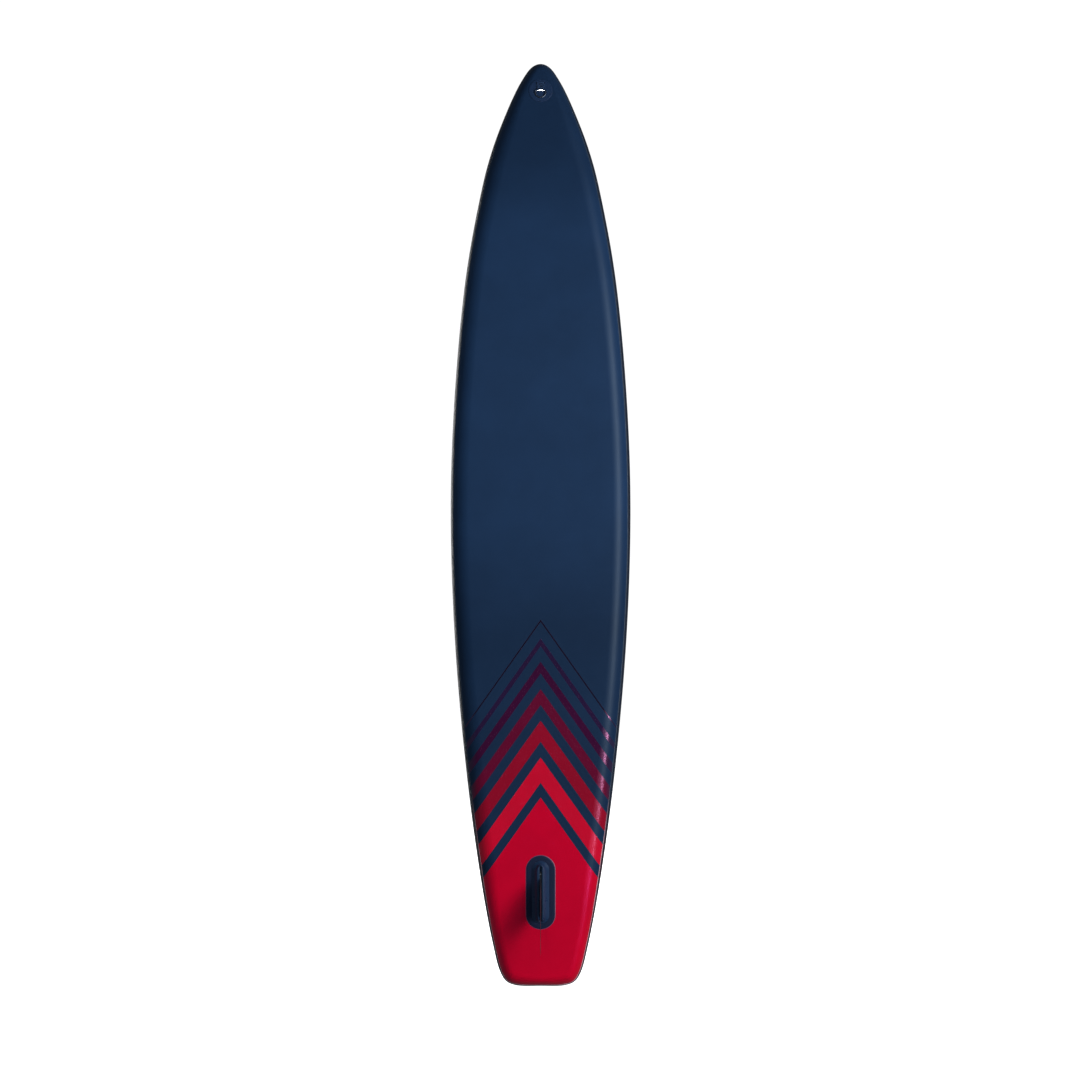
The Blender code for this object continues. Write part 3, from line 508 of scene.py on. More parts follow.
class Parts:
    """Collects closed shells for one mesh."""

    def __init__(self):
        self.points, self.faces = [], []

    def quads(self, start, rows, columns, wrap_rows=False, wrap_columns=False):
        for i in range(rows if wrap_rows else rows - 1):
            here, after = start + i * columns, start + (i + 1) % rows * columns
            for j in range(columns if wrap_columns else columns - 1):
                k = (j + 1) % columns
                self.faces.append((here + j, here + k, after + k, after + j))

    def grid(self, rows, wrap_rows=False, caps=True):
        """Rows of points, each a loop; unless they wrap too, a cap closes the first and the last."""
        start, count = len(self.points), len(rows[0])
        self.points += [tuple(p) for row in rows for p in row]
        self.quads(start, len(rows), count, wrap_rows, True)
        if caps and not wrap_rows:
            for first in (start, len(self.points) - count):
                self.faces.append(tuple(range(first, first + count)))
        return self

    def sheet(self, outer, inner):
        """A thin sheet between two grids of points. Its end rows are folded lines, so they need no edge."""
        start, rows, columns = len(self.points), len(outer), len(outer[0])
        self.points += [tuple(p) for grid in (outer, inner) for row in grid for p in row]
        beneath = rows * columns
        self.quads(start, rows, columns)
        self.quads(start + beneath, rows, columns)
        for first in (start, start + columns - 1):
            line = range(first, first + beneath, columns)
            self.faces += [(a, b, b + beneath, a + beneath) for a, b in zip(line, line[1:])]
        return self

    def make(self, name, body, finish, slot, replaces=(), angle=40.0):
        """Turns the shells into one piece that rides on a body."""
        bm = bmesh.new()
        made = [bm.verts.new(p) for p in self.points]
        for face in self.faces:
            corners = dict.fromkeys(made[i] for i in face)
            if len(corners) > 2:
                bm.faces.new(corners)
        return finish_mesh(name, bm, body, finish, replaces, angle)


def angles_round(count):
    return np.linspace(0, 2 * pi, count, endpoint=False)


def turned(at, profile, count=96, ripple=None, parts=None):
    """A closed profile of (radius, height), turned about the frame's Z.

    A ripple is (notches, their depth, the least radius that has them).
    """
    parts = parts or Parts()
    angles = angles_round(count)
    rows = []
    for radius, height in profile:
        radii = np.full(count, float(radius))
        if ripple and radius > ripple[2]:
            radii = radii - ripple[1] * (0.5 + 0.5 * np.cos(ripple[0] * angles)) ** 3
        rows.append([at @ Vector((r * cos(a), r * sin(a), height))
                     for r, a in zip(radii, angles)])
    return parts.grid(rows, wrap_rows=profile[0][0] > 0, caps=False)


def rod(radius, low, high):
    """A cylinder's profile."""
    return [(0, low), (radius, low), (radius, high), (0, high)]


def smooth_line(points, count, closed=False):
    """Evenly spaced points of a centripetal Catmull-Rom curve through the given ones."""
    knots = [np.array(p, float) for p in points]
    if closed:
        knots = [knots[-1], *knots, knots[0], knots[1]]
    else:
        knots = [2 * knots[0] - knots[1], *knots, 2 * knots[-1] - knots[-2]]
    made = []
    for a, b, c, d in zip(knots, knots[1:], knots[2:], knots[3:]):
        t = [0]
        for p, q in ((a, b), (b, c), (c, d)):
            t.append(t[-1] + max(1e-6, np.linalg.norm(q - p)) ** 0.5)

        def between(p, q, i, j):
            return (p * (t[j] - u) + q * (u - t[i])) / (t[j] - t[i])

        for u in np.linspace(t[1], t[2], 16, endpoint=False):
            bc = between(b, c, 1, 2)
            abc = between(between(a, b, 0, 1), bc, 0, 2)
            bcd = between(bc, between(c, d, 2, 3), 1, 3)
            made.append(between(abc, bcd, 1, 2))
    made.append(knots[-2])
    made = np.array(made)
    length = np.concatenate([[0], np.cumsum(np.linalg.norm(np.diff(made, axis=0), axis=1))])
    spots = np.linspace(0, length[-1], count + 1 if closed else count)
    line = np.stack([np.interp(spots, length, made[:, k]) for k in range(made.shape[1])], 1)
    return line[:-1] if closed else line


def closed_wire(path, across, radius, sides=18):
    """A round wire along a closed flat path; across is the normal of the path's plane."""
    rows = []
    for before, here, after in zip(path[-1:] + path[:-1], path, path[1:] + path[:1]):
        out = (after - before).normalized().cross(across)
        rows.append([here + (out * cos(a) + across * sin(a)) * radius
                     for a in angles_round(sides)])
    return Parts().grid(rows, wrap_rows=True)


def strap_section(width, thick, steps=8):
    """A flat strap's cross section with rounded edges, as (across, out)."""
    half, radius = width / 2, thick / 2
    points = []
    for sign in (1, -1):
        for k in range(steps + 1):
            a = pi / 2 - pi * k / steps
            points.append((sign * (half - radius + radius * cos(a)), sign * radius * sin(a)))
        points += [(sign * x, -sign * radius) for x in np.linspace(half - radius, radius - half, 5)[1:-1]]
    return points


def strap(at, path, widths, thick, square=False):
    """A strap along a path of (y, height), with rounded edges, in one frame or a frame for each point."""
    frames = at if isinstance(at, list) else [at] * len(path)
    rows = []
    for i, here in enumerate(path):
        before, after = Vector(path[max(i - 1, 0)]), Vector(path[min(i + 1, len(path) - 1)])
        along = (after - before).normalized()
        out = Vector((-along.y, along.x))
        if square and i in (0, len(path) - 1):
            out = Vector((0, copysign(1, out.y)))
        rows.append([frames[i] @ Vector((u, here[0] + out.x * v, here[1] + out.y * v))
                     for u, v in strap_section(widths[i], thick)])
    return Parts().grid(rows)


def box_stitch(at, x, low, high, height):
    """The usual sewn box with a cross in it; each thread is a small spindle."""
    parts = Parts()
    corners = [Vector((u, v, height)) for u, v in ((-x, low), (x, low), (x, high), (-x, high))]
    for i, j in ((0, 1), (1, 2), (2, 3), (3, 0), (0, 2), (1, 3)):
        a, b = corners[i], corners[j]
        count = max(1, round((b - a).length / STITCH_PITCH))
        along = (b - a).normalized()
        side = along.cross(Vector((0, 0, 1))).normalized()
        for k in range(count):
            middle = a.lerp(b, (k + 0.5) / count)
            rows = []
            for share, fat in ((-0.5, 0.25), (-0.28, 1), (0.28, 1), (0.5, 0.25)):
                spot = middle + along * STITCH * share
                ring = [side * cos(turn) + Vector((0, 0, 0.7 * sin(turn))) for turn in angles_round(6)]
                rows.append([at @ (spot + out * THREAD * fat) for out in ring])
            parts.grid(rows)
    return parts


def rounded_box(x, y, half_x, half_y, radius, steps=8):
    """Anticlockwise (x, y) points."""
    points = []
    for k, (a, b) in enumerate(((1, 1), (-1, 1), (-1, -1), (1, -1))):
        for step in range(steps + 1):
            turn = pi / 2 * (k + step / steps)
            points.append((x + a * (half_x - radius) + radius * cos(turn),
                           y + b * (half_y - radius) + radius * sin(turn)))
    return points


def inset(outline, amount):
    """An anticlockwise closed outline moved inwards."""
    p = np.array(outline, float)
    along = np.roll(p, -1, 0) - np.roll(p, 1, 0)
    along /= np.linalg.norm(along, axis=1)[:, None]
    return p + np.stack([-along[:, 1], along[:, 0]], 1) * amount


def moulded(parts, to_space, outline, profile, band=False):
    """A solid plate, or a band along its outline, with that profile of (inset, height).

    A plate's profile climbs from its lower edge to its upper face, and a band's is a closed line.
    """
    return parts.grid([[to_space(x, z, h) for x, z in inset(outline, i)] for i, h in profile], band)


def space(at):
    """Gives the function that places an (x, y, height) point in a frame."""
    return lambda x, y, height: at @ Vector((x, y, height))


# -------- the hull's shape


def lift(z):
    return NOSE_LIFT * np.maximum(0, (z - LIFT_START) / (LENGTH - LIFT_START)) ** 2


def lift_slope(z):
    return 2 * NOSE_LIFT * max(0.0, z - LIFT_START) / (LENGTH - LIFT_START) ** 2


def smooth(low, high, value):
    t = np.clip((value - low) / (high - low), 0, 1)
    return t * t * (3 - 2 * t)


def side_reach(z):
    from_tail = TAIL_REACH + (SIDE_REACH - TAIL_REACH) * smooth(0.15, 0.6, z)
    return from_tail + (NOSE_REACH - SIDE_REACH) * smooth(3.4, LENGTH, z)


def stations():
    """Points, inward normals and reaches along half of the outline."""
    first, last = OUTLINE[1], OUTLINE[-2]
    knots = [(-first[0], first[1]), *OUTLINE, (-last[0], last[1])]
    fine = smooth_line(knots, 9000)
    start, end = np.argmin(np.hypot(*fine.T)), np.argmin(np.hypot(fine[:, 0], fine[:, 1] - LENGTH))
    fine = fine[start : end + 1]
    fine[0], fine[-1] = (0, 0), (0, LENGTH)
    step = np.where((fine[1:, 1] < 0.15) | (fine[1:, 1] > 3.6), END_STEP, STEP)
    cost = np.concatenate([[0], np.cumsum(np.linalg.norm(np.diff(fine, axis=0), axis=1) / step)])
    at = np.linspace(0, cost[-1], int(cost[-1]) + 1)
    points = np.stack([np.interp(at, cost, fine[:, k]) for k in (0, 1)], 1)
    along = np.gradient(points, axis=0)
    along[0], along[-1] = (1, 0), (-1, 0)
    along /= np.linalg.norm(along, axis=1)[:, None]
    reach = side_reach(points[:, 1]) * (END_REACH + (1 - END_REACH) * smooth(0, 0.09, points[:, 0]))
    return points, np.stack([-along[:, 1], along[:, 0]], 1), reach


POINTS, INWARD, REACH = stations()


def side_points(side, angles, depths):
    """Points of the rounded side, for each station and each angle and depth."""
    angles, depths = np.radians(np.array(angles, float)), np.array(depths, float)
    reach = REACH[:, None] - (REACH[:, None] - depths) * np.cos(angles)
    plan = POINTS[:, None, :] + INWARD[:, None, :] * reach[..., None]
    y = (THICKNESS / 2 - depths) * np.sin(angles) + lift(plan[..., 1])
    return np.stack([side * np.maximum(plan[..., 0], 0), y, plan[..., 1]], 2)


def above(x, z, height):
    """A point over the deck's flat face."""
    return (x, FACE + height + float(lift(z)), z)


def under(x, z, height):
    """A point below the underside, short of the nose's lift."""
    return (x, -FACE - height, z)


def on_hull(x, z, side):
    """A frame on the skin: its Y runs towards the nose and its Z out of the skin."""
    along = Vector((0, lift_slope(z), 1)).normalized()
    out = Vector((0, side, -side * lift_slope(z))).normalized()
    across = along.cross(out)
    made = Matrix((across, along, out)).transposed().to_4x4()
    made.translation = (x, side * FACE + float(lift(z)), z)
    return made


# -------- hull pieces


def skin(name, face, finish, node):
    """A thin sheet over one face, with that face's part of the rounded sides."""
    angles = np.array([31.2, 32.5, *np.arange(35, 90, 2.5), 90.0])
    grids = []
    for depth in (SKIN_DEPTH, SKIN_DEPTH + SKIN):
        left, right = side_points(-1, face * angles, depth), side_points(1, face * angles[::-1], depth)
        share = np.linspace(0, 1, 10)[1:-1, None]
        middle = left[:, -1, None] * (1 - share) + right[:, 0, None] * share
        grids.append(np.concatenate([left, middle, right], 1))
    return Parts().sheet(*grids).make(name, "hull", finish, finish, [node], 60)


def round_strip(name, profile, finish, slot, nodes=()):
    """A strip right round the hull; the profile is a closed line of (angle, depth)."""
    angles, depths = zip(*profile)
    right = side_points(1, angles, depths)
    left = side_points(-1, angles, depths)[::-1][1:-1]
    parts = Parts().grid(np.concatenate([right, left]), wrap_rows=True)
    parts.make(name, "hull", finish, slot, nodes, 50)


def cut(obj, *tools):
    """Cuts closed shells out of a piece."""
    for parts in tools:
        tool = parts.make("cutter", None, "wall_pvc", "wall_pvc")
        modifier = obj.modifiers.new("cut", "BOOLEAN")
        modifier.operation = "DIFFERENCE"
        modifier.object = tool
        graph = bpy.context.evaluated_depsgraph_get()
        mesh = bpy.data.meshes.new_from_object(obj.evaluated_get(graph))
        obj.modifiers.clear()
        obj.data = mesh
        bpy.data.objects.remove(tool)


def hull():
    skin("hull_underside", -1, "underside_pvc", "bottom_skin")
    deck = skin("hull_deck", 1, "deck_pvc", "deck_skin")
    cut(deck, turned(on_hull(VALVE_X, VALVE_Z, 1), rod(BARREL + 0.0006, -0.02, 0.02), 64))
    turn_in = [(BAND_EDGE - 0.4, 0.0001), (BAND_EDGE, 0.0006)]
    outer = [*((-a, d) for a, d in turn_in[::-1]), *((a, 0.0) for a in np.arange(-28.5, 29, 3.0)), *turn_in]
    inner = [(a, BAND) for a in np.arange(BAND_EDGE, -BAND_EDGE - 1, -6.0)]
    round_strip("rail_band", [*outer, *inner], "rail_pvc", "rail_pvc", ["rail_band_left", "rail_band_right"])
    bead = [(30.1, 0.0016), (30.2, 0.0007), (30.7, 0.0004), (32.3, 0.0004), (32.8, 0.0007), (33.0, 0.0016)]
    for word, side in (("under", -1), ("deck", 1)):
        round_strip(f"seam_bead_{word}", [(side * a, d) for a, d in bead], "seam_bead", "wall_pvc")


# -------- deck pads


def pad_outline():
    low, high = PAD_ENDS
    order = np.argsort(POINTS[:, 1])
    heights = np.linspace(low + 0.03, high - 0.12, 14)
    halves = np.interp(heights, POINTS[order, 1], POINTS[order, 0]) - PAD_MARGIN
    first, last = halves[0], halves[-1]
    tail = [(0.0, low), (first - 0.04, low), (first - 0.012, low + 0.006)]
    tip = [(last * 0.86, high - 0.05), (last * 0.5, high - 0.012), (last * 0.16, high)]
    right = [*tail, *zip(halves, heights), *tip]
    return smooth_line(right + [(-x, z) for x, z in reversed(right[1:])], 1040, closed=True)


def clip(polygon, point, normal):
    """The part of a polygon that lies on the normal's side of a line."""
    made = []
    for a, b in zip(polygon, polygon[1:] + polygon[:1]):
        da, db = (a - point).dot(normal), (b - point).dot(normal)
        if da >= 0:
            made.append(a)
        if da * db < 0:
            made.append(a.lerp(b, da / (da - db)))
    return made


def tile_outlines(border, hole):
    """Diamonds inside one outline and outside another."""
    across, along = TILE_HALF
    a, b = across - TILE_GROOVE / 2, along - TILE_GROOVE
    edges = [(Vector(p), Vector((p[1] - q[1], q[0] - p[0])).normalized())
             for p, q in zip(border, np.roll(border, -1, 0))]
    low, (width, length) = border.min(0), np.ptp(border, axis=0)
    for i in range(int(width / across) + 2):
        for j in range(int(length / along) + 2):
            if (i + j) % 2:
                continue
            x = (i - int(width / across / 2)) * across
            z = low[1] + j * along
            shape = [Vector((x + a, z)), Vector((x, z + b)), Vector((x - a, z)), Vector((x, z - b))]
            for point, normal in edges:
                if shape and min((v - point).dot(normal) for v in shape) < 0:
                    shape = clip(shape, point, normal)
            if len(shape) < 3:
                continue
            middle = sum(shape, Vector((0, 0))) / len(shape)
            nearest = int(np.argmin(np.hypot(*(hole - middle).T)))
            turn = hole[(nearest + 1) % len(hole)] - hole[nearest - 1]
            shape = clip(shape, Vector(hole[nearest]), Vector((turn[1], -turn[0])))
            if len(shape) > 2:
                yield shape


def deck_pad():
    """A pale layer that shows in the grooves, and on it a smooth border round diamond tiles."""
    outline = pad_outline()
    edge = [
        (0, 0), (0, 0.0036), (0.0006, 0.0046), (0.0018, 0.0052), (0.0035, PAD_TOP),
        (PAD_BORDER - 0.0018, PAD_TOP), (PAD_BORDER - 0.0005, 0.0048), (PAD_BORDER, 0.0038), (PAD_BORDER, 0),
    ]
    hole = rounded_box(*PAD_HOLE)
    bm = bmesh.new()
    lines = []
    for loop in (inset(outline, 0.004), inset(hole, -0.004)):
        corners = [bm.verts.new(above(x, z, 0.0001)) for x, z in loop]
        lines += [bm.edges.new((a, b)) for a, b in zip(corners, corners[1:] + corners[:1])]
    bmesh.ops.triangle_fill(bm, edges=lines, use_beauty=True)
    grown = bmesh.ops.extrude_face_region(bm, geom=bm.faces[:])["geom"]
    raised = [v for v in grown if isinstance(v, bmesh.types.BMVert)]
    bmesh.ops.translate(bm, verts=raised, vec=(0, PAD_BASE, 0))
    base = finish_mesh("deck_pad_base", bm, "hull", "pad_base", ["deck_pad"])
    top = Parts()
    moulded(top, above, outline, edge, band=True)
    moulded(top, above, hole, [(-i, h) for i, h in edge], band=True)
    inner = inset(outline[::4], PAD_BORDER + 0.0022)
    room = inset(rounded_box(*PAD_HOLE, 24), -PAD_BORDER - 0.0022)
    for shape in tile_outlines(inner, smooth_line(room, 400, closed=True)):
        middle = sum(shape, Vector((0, 0))) / len(shape)
        size = max((v - middle).length for v in shape)
        if size < TILE_LEAST:
            continue
        rows = []
        for shrink, height in TILE_EDGE:
            scale = 1 - shrink / size * 1.6
            rows.append([above(*(middle + (v - middle) * scale), height) for v in shape])
        top.grid(rows)
    top = top.make("deck_pad_top", "hull", "pad_foam", "pad_foam", ["deck_pad"], 30)


def kick_pad():
    """An arched foam bar with grooves along it, flattened at its ends."""
    line = smooth_line(KICK_ARCH, 120)
    rows = []
    for u in np.sin(np.linspace(-pi / 2, pi / 2, 81)):
        share = max(0.0, 1 - abs(u) ** 9) ** 0.5
        ring = []
        for z, h in line:
            grooves = sum(exp(-(((z - at) / KICK_GROOVE_WIDTH) ** 2)) for at in KICK_GROOVES)
            depth = KICK_GROOVE_DEPTH * grooves * (abs(u) < 0.93)
            height = max(0.0, KICK_HEIGHT * h * (0.08 + 0.92 * share) - depth)
            ring.append((u * KICK_HALF, FACE + PAD_TOP + height, z))
        rows.append(ring)
    bar = Parts().grid(rows).make("kick_pad_bar", "hull", "kick_foam", "pad_foam", ["kick_pad"], 35)


# -------- fin box and fin


UNDER = Matrix(((1, 0, 0, 0), (0, 0, -1, -FACE), (0, 1, 0, 0), (0, 0, 0, 1)))


def stadium(half_across, half_length, steps=32):
    """Anticlockwise (x, z) points round BOX_MIDDLE."""
    straight = half_length - half_across
    points = []
    for sign in (1, -1):
        for k in range(steps + 1):
            a = pi * k / steps
            points.append((sign * half_across * cos(a),
                           BOX_MIDDLE + sign * (straight + half_across * sin(a))))
    return points


def fin_box():
    """A bonded oval patch with a welt round it, and the hard channel with its slot and grooves."""
    profile = [(0, -0.0002), (0, 0.0011), (0.0006, 0.0017), (0.002, 0.0021), (0.006, 0.0024), (0.02, 0.0026),
               (0.026, 0.0026), (0.026, -0.0002)]
    flange = moulded(Parts(), under, stadium(0.059, 0.15), profile, band=True)
    flange.make("fin_box_patch", "hull", "box_patch", "patch_pvc", ["fin_box_flange"])
    profile = [(-0.0022, -0.0002), (-0.0018, 0.0008), (-0.0006, 0.0013), (0.0006, 0.0014), (0.0012, 0.0008),
               (0.0012, -0.0002)]
    welt = moulded(Parts(), under, stadium(0.0592, 0.1502), profile, band=True)
    welt.make("fin_box_welt", "hull", "welt", "patch_pvc")

    layers = [(0, 0.0012), (0, 0.0034), (0.0006, 0.0042), (0.003, 0.006), (0.0075, 0.0098), (0.012, 0.0145),
              (0.0165, 0.0198), (0.0188, 0.0232), (0.0198, 0.0249), (0.0206, 0.0256), (0.022, BOX_HEIGHT)]
    half = (0.035, 0.128)
    rows = []
    for i, h in layers:
        across = 1 - i / half[0]
        along = 1 - min(i, 0.012 + i * 0.1) / half[1]
        rows.append([under(x * across, BOX_MIDDLE + (z - BOX_MIDDLE) * along, h) for x, z in stadium(*half)])
    box = Parts().grid(rows).make("fin_box_body", "hull", "box_plastic", "box_plastic", ["fin_box"], 35)
    middle, length = sum(SLOT) / 2, (SLOT[1] - SLOT[0]) / 2

    def tool(outline, low, high):
        return moulded(Parts(), under, outline, [(0, low), (0, high)])

    slot, groove, over = SLOT_WIDTH / 2, GROOVE_WIDTH / 2, BOX_HEIGHT + 0.01
    mouth = [(groove * cos(a), SLOT[0] + groove * (1 + sin(a)))
             for a in angles_round(48)]
    cut(
        box,
        tool(rounded_box(0, middle, slot, length, slot - 0.0003), SLOT_FLOOR, over),
        tool(rounded_box(0, middle, groove, length, 0.002), *GROOVE),
        tool(mouth, GROOVE[0] + 0.001, over),
    )


def fin():
    """A foil blade that sweeps back, with the tab that sits in the slot and the tongue under the screw."""
    base = sum(BLADE_BASE) / 2
    chords = np.array([0, 0.004, 0.015, 0.04, 0.08, 0.14, 0.22, 0.32, 0.44, 0.58, 0.72, 0.85, 0.95, 1])
    # The usual four-digit foil, with a blunter nose
    foil = 4.94 * (0.2969 * np.sqrt(chords) - 0.126 * chords - 0.3516 * chords**2 + 0.2843 * chords**3
                   - 0.1015 * chords**4) + 0.05 * np.minimum(1, chords * 20)
    foil = np.minimum(foil, 1.0)
    rows = []
    for t in [*np.linspace(0, 0.9, 30), 0.925, 0.95, 0.97, 0.985, 0.995, 1.0]:
        chord = (BLADE_BASE[1] - BLADE_BASE[0]) * sqrt(1 - min(t, 0.997) ** 3.2)
        front = base - BLADE_RAKE * t**1.5 + chord / 2
        thick = BLADE_THICK * (1 - 0.72 * t)
        height = BLADE_ROOT + (BLADE_DEPTH - BLADE_ROOT) * t
        sides = [(thick * h, front - chord * c) for c, h in zip(chords, foil)]
        ring = sides + [(-x, z) for x, z in reversed(sides[1:])]
        rows.append([under(x, z, height) for x, z in ring])
    Parts().grid(rows).make("fin_foil", "fin", "fin_plastic", "fin_plastic", ["fin_blade"], 45)
    low = SLOT_FLOOR + 0.0007
    side = [(0.3, low), (0.459, low), (0.459, 0.014), (0.478, 0.014), (0.478, 0.017), (0.459, 0.017),
            (0.4505, TAB_TOP), (0.3005, TAB_TOP)]
    tab = Parts().grid([[under(x, z, h) for z, h in side] for x in (-TAB_HALF, TAB_HALF)])
    tab = tab.make("fin_tab", "fin", "fin_plastic", "fin_plastic", ["fin_blade"], 30)
    across = Matrix.Translation(under(0, PIN_Z, PIN_HEIGHT)) @ Matrix.Rotation(pi / 2, 4, "Y")
    cut(
        tab,
        turned(UNDER @ Matrix.Translation((0, SCREW_Z, 0)), rod(SCREW_HOLE, 0, 0.03), 40),
        turned(across, rod(PIN_HOLE, -0.01, 0.01), 40),
    )


# -------- rings


# The rounded edge of every patch, as (inset, height)
PATCH_EDGE = [(0, -0.0006), (0, PATCH_TOP - 0.0012), (0.0005, PATCH_TOP - 0.0005),
              (0.0016, PATCH_TOP - 0.0001), (0.004, PATCH_TOP)]


def tow_ring(name, x, z, side, radius):
    """A D-ring in a sewn webbing loop on a round patch. The underside's is coated dark like its patch."""
    at = on_hull(x, z, side)
    below = side < 0
    patch = [(0, PATCH_EDGE[0][1]), *((radius - i, h) for i, h in PATCH_EDGE), (0, PATCH_TOP)]
    turned(at, patch, 128).make(f"{name}_disc", "hull", "patch_pvc", "patch_pvc", [f"{name}_patch"])
    wound = LOOP_BORE + WEBBING / 2
    base = PATCH_TOP + GAP
    under_layer, upper_layer = base + WEBBING / 2, base + WEBBING * 1.5
    path = [(LOOP_TAIL, under_layer), (0.024, under_layer), (0.012, under_layer)]
    path += [(wound * cos(a), BAR_HEIGHT + wound * sin(a))
             for a in np.radians(np.arange(270, 40, -15))]
    path += [(0.0076, base + 1.62 * WEBBING), (0.011, upper_layer), (0.022, upper_layer),
             (LOOP_TAIL, upper_layer)]
    line = smooth_line(path, 90)
    loop = strap(at, line, [LOOP_WIDTH] * len(line), WEBBING)
    finish = "coated_webbing" if below else "webbing"
    loop = loop.make(f"{name}_webbing", "hull", finish, "webbing", [f"{name}_loop"], 50)
    if below:
        bpy.data.collections["nose_glint"].objects.link(loop)
    half = LOOP_WIDTH / 2 - STITCH_MARGIN
    sewn = box_stitch(at, half, 0.0125, LOOP_TAIL - 0.003, base + 2 * WEBBING)
    sewn.make(f"{name}_stitches", "hull", "coated_thread" if below else "thread", "webbing")

    turn = NOSE_RING_TILT if below else -atan(lift_slope(z))
    tilt = at @ Matrix.Translation((0, 0, BAR_HEIGHT)) @ Matrix.Rotation(turn, 4, "X")
    shoulder, straight = 0.004, 0.009
    bar = [(RING_HALF * share, 0) for share in (-0.8, -0.4, 0, 0.4, 0.8)]
    bow = [(RING_HALF * cos(a), -straight - (RING_DROP - straight) * sin(a))
           for a in np.linspace(0, pi, 17)]
    path = [*bar, (RING_HALF, -shoulder), *bow, (-RING_HALF, -shoulder)]
    spots = [tilt @ Vector((u, v, 0)) for u, v in smooth_line(path, 120, closed=True)]
    normal = tilt.to_3x3() @ Vector((0, 0, 1))
    finish = "dark_steel" if below else "steel"
    ring = closed_wire(spots, normal, RING_WIRE)
    ring.make(f"{name}_d_ring", f"{name}_ring", finish, "steel", [f"{name}_ring"], 60)


# -------- handles


def strap_height(rise, share):
    return STRAP_FOOT + rise * cos(pi / 2 * share)


def handle(name, at, span, rise, width, patch, tip=0.0, grip=False):
    """A strap between two sewn tabs; each half of the strap bends from its tab into the lifted part.

    span is half of the strap's length and patch is each patch's half width, half length and tab length.
    """

    def lean(share):
        """The handle's frame, tipped by that share about the line through the strap's feet."""
        foot = Matrix.Translation((0, 0, STRAP_FOOT))
        return at @ foot @ Matrix.Rotation(tip * share, 4, "Y") @ foot.inverted()

    # Nearer the middle than this share of the half, the strap takes the handle's whole tip, stiffly
    still = 0.5 if grip else 0.12
    for word, sign in (("fore", 1), ("aft", -1)):
        shares = np.linspace(0, 1, 40)
        path = [(sign * span * s, strap_height(rise, s)) for s in shares]
        widths = [width - (width - STRAP_END) * s**4 for s in shares]
        frames = [lean(smooth(0, 1, (1 - s) / (1 - still))) for s in shares]
        half = strap(frames, path, widths, STRAP, square=True)
        half = half.make(f"{name}_strap_{word}_half", None, "webbing", "webbing", [f"{name}_strap"], 50)
        ends = [at @ Vector((0, sign * span * s, STRAP_FOOT)) for s in (1, still)]
        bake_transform(half)

        ahead = at @ Matrix.Rotation(0 if sign > 0 else pi, 4, "Z")
        flat = PATCH_TOP + GAP + STRAP / 2
        start = span + 0.0001
        spots = [(start, STRAP_FOOT), (start + 0.006, STRAP_FOOT - 0.0018), (start + 0.013, flat),
                 (start + 0.022, flat), (start + patch[2], flat)]
        line = smooth_line(spots, 40)
        wide = STRAP_END + (width - STRAP_END) * smooth(0.001, 0.022, line[:, 0] - start)
        tab = strap(ahead, line, wide, STRAP, square=True)
        tab.make(f"{name}_sewn_{word}", "hull", "webbing", "webbing", [f"{name}_tab_{word}"], 50)
        ends = start + 0.022, start + patch[2] - 0.003
        sewn = box_stitch(ahead, width / 2 - STITCH_MARGIN, *ends, flat + STRAP / 2)
        sewn.make(f"{name}_stitches_{word}", "hull", "thread", "webbing")

        outline = rounded_box(0, start + 0.006 + patch[1], patch[0], patch[1], 0.01)
        disc = moulded(Parts(), space(ahead), outline, PATCH_EDGE)
        disc.make(f"{name}_base_{word}", "hull", "patch_pvc", "patch_pvc", [f"{name}_patch_{word}"])
    if grip:
        sleeve(name, lean(1), span, rise, width)


def sleeve(name, lean, span, rise, width):
    """A padded neoprene grip round the strap, open at both ends, with two raised seams."""
    outer, inner = [], []
    for s in np.linspace(-0.5, 0.5, 61):
        y, height = span * s, strap_height(rise, s)
        end = min(1.0, (0.5 - abs(s)) / 0.06)
        fat = 0.0046 + 0.0026 * sin(pi / 2 * end)
        seam = 0.0006 * exp(-(((abs(s) - 0.42) / 0.008) ** 2))
        around = rounded_box(0, 0, width / 2 + 0.0022 + fat * 0.38 + seam, fat + seam, fat * 0.8, 7)
        bore = rounded_box(0, 0, width / 2 + 0.0006, STRAP / 2 + 0.0008, 0.0006, 7)
        outer.append([lean @ Vector((x, y, height + h)) for x, h in around])
        inner.append([lean @ Vector((x, y, height + h)) for x, h in bore])
    grip = Parts().grid(outer + inner[::-1], wrap_rows=True)
    grip = grip.make(f"{name}_sleeve", name, "grip_foam", "pad_foam", [f"{name}_grip"], 50)


# -------- valve


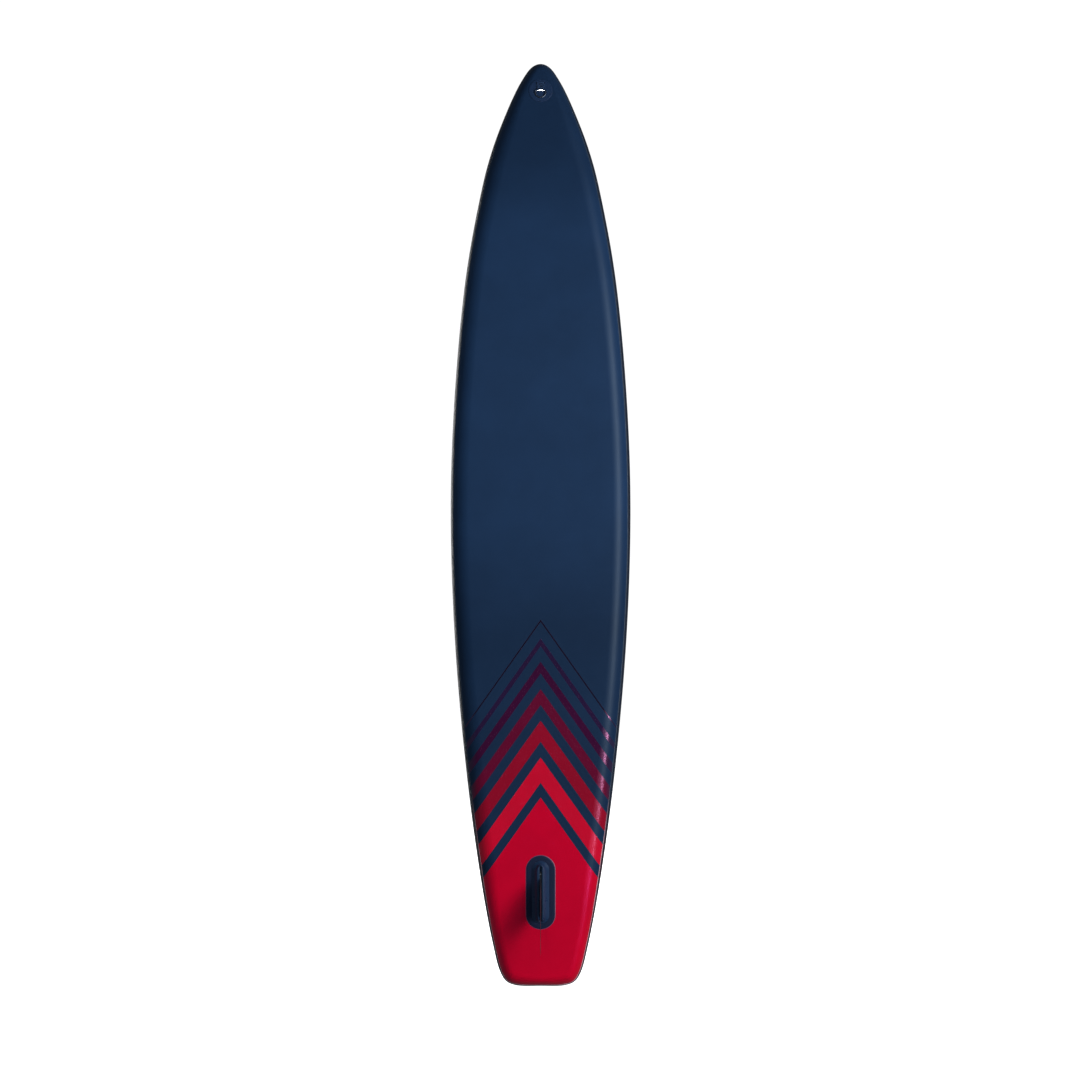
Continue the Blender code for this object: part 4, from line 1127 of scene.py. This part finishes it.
def valve():
    """The housing with its seat and stem guide, and the spring, poppet and cap, at rest."""
    at = on_hull(VALVE_X, VALVE_Z, 1)
    body = [
        (THROAT, 0.0044), (THROAT + 0.0006, 0.0052), (THROAT + 0.0016, 0.0056), (FLANGE - 0.004, 0.0056),
        (FLANGE - 0.0018, 0.0053), (FLANGE - 0.0004, 0.0044), (FLANGE, 0.0034), (FLANGE, 0.0016),
        (BARREL, 0.0014), (BARREL, -0.04), (THROAT + 0.001, -0.04), (THROAT + 0.001, -0.0255),
        (0.0098, -0.0255), (0.0098, -0.023), (THROAT, -0.023),
    ]
    shell = turned(at, body, 144, (24, 0.0009, FLANGE - 0.001))
    turned(at, [(0.0022, -0.0208), (0.0047, -0.0208), (0.0047, -0.0168), (0.0022, -0.0168)], 48, parts=shell)
    for sign in (1, -1):
        bar = rounded_box(sign * 0.0088, 0, 0.0045, 0.0022, 0.0005, 3)
        moulded(shell, space(at), bar, [(0, -0.0203), (0, -0.0173)])
    shell.make("valve_housing", "hull", "valve_plastic", "valve_plastic", ["valve_body"], 35)

    turns, wire, radius, low, high = 3, 0.0005, 0.0037, -0.016, -0.0076
    rows = []
    for k in range(turns * 32 + 1):
        a = 2 * pi * k / 32
        out = Vector((cos(a), sin(a), 0))
        middle = out * radius + Vector((0, 0, low + (high - low) * k / (turns * 32)))
        rows.append([at @ (middle + out * wire * cos(b) + Vector((0, 0, wire * sin(b))))
                     for b in angles_round(10)])
    coil = Parts().grid(rows).make("valve_coil", "hull", "steel", "steel", ["valve_spring"], 60)
    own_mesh(coil)

    poppet = [
        (0, -0.004), (0.0042, -0.004), (0.005, -0.0042), (0.0055, -0.0048), (0.0055, -0.0068),
        (0.0018, -0.0068), (0.0018, -0.0258), (0.0086, -0.0258), (0.0086, -0.0276), (0.0124, -0.0276),
        (0.0124, -0.03), (0, -0.03),
    ]
    stem = turned(at, poppet, 64)
    stem.make("valve_stem", "valve_poppet", "valve_plastic", "valve_plastic", ["valve_poppet"], 35)

    cap = [
        (0, 0.0092), (0.0085, 0.0092), (0.0096, 0.0096), (0.019, 0.0096), (0.0204, 0.0092), (0.0213, 0.0084),
        (0.0215, 0.0076), (0.0215, 0.0059), (0.0112, 0.0059), (0.0106, 0.0042), (0.0086, 0.0042),
        (0.0086, 0.0072), (0, 0.0072),
    ]
    lid = turned(at, cap, 180, (36, 0.0007, 0.0209))
    tongue = rounded_box(0, 0.0214, 0.004, 0.0014, 0.0006, 3)
    moulded(lid, space(at), tongue, [(0, 0.0068), (0, 0.0092)])
    grip = rounded_box(0, 0, 0.0075, 0.0013, 0.0012, 5)
    lid.grid([[at @ Vector((x * s, y * s, h)) for x, y in grip]
              for s, h in ((1, 0.009), (1, 0.0094), (0.9, 0.0096))])
    lid.make("valve_lid", "valve_cap", "valve_plastic", "valve_plastic", ["valve_cap"], 35)


# -------- everything


def dress_cad_nodes():
    """The CAD nodes that stay take their slot's finish."""
    for row in frame["record"]["subparts"]:
        node = frame["nodes"][row["node"]]
        node.data.materials.clear()
        node.data.materials.append(FINISHES[row["material_slot"]])


camera()
surroundings()
floor()
materials()
bpy.context.scene.view_settings.view_transform = "Standard"
dress_cad_nodes()
hull()
deck_pad()
kick_pad()
fin_box()
fin()
for ring_name, ring_place in RINGS.items():
    tow_ring(ring_name, *ring_place)
handle(
    "centre_handle",
    on_hull(0, HANDLE_Z, 1),
    span=0.118, rise=0.032, width=0.038, patch=(0.035, 0.028, 0.05), grip=True,
)
handle(
    "nose_handle",
    on_hull(0, NOSE_HANDLE_Z, 1) @ Matrix.Rotation(pi / 2, 4, "Z"),
    span=0.058, rise=0.026, width=0.024, patch=(0.026, 0.0155, 0.034), tip=NOSE_HANDLE_DROOP,
)
valve()
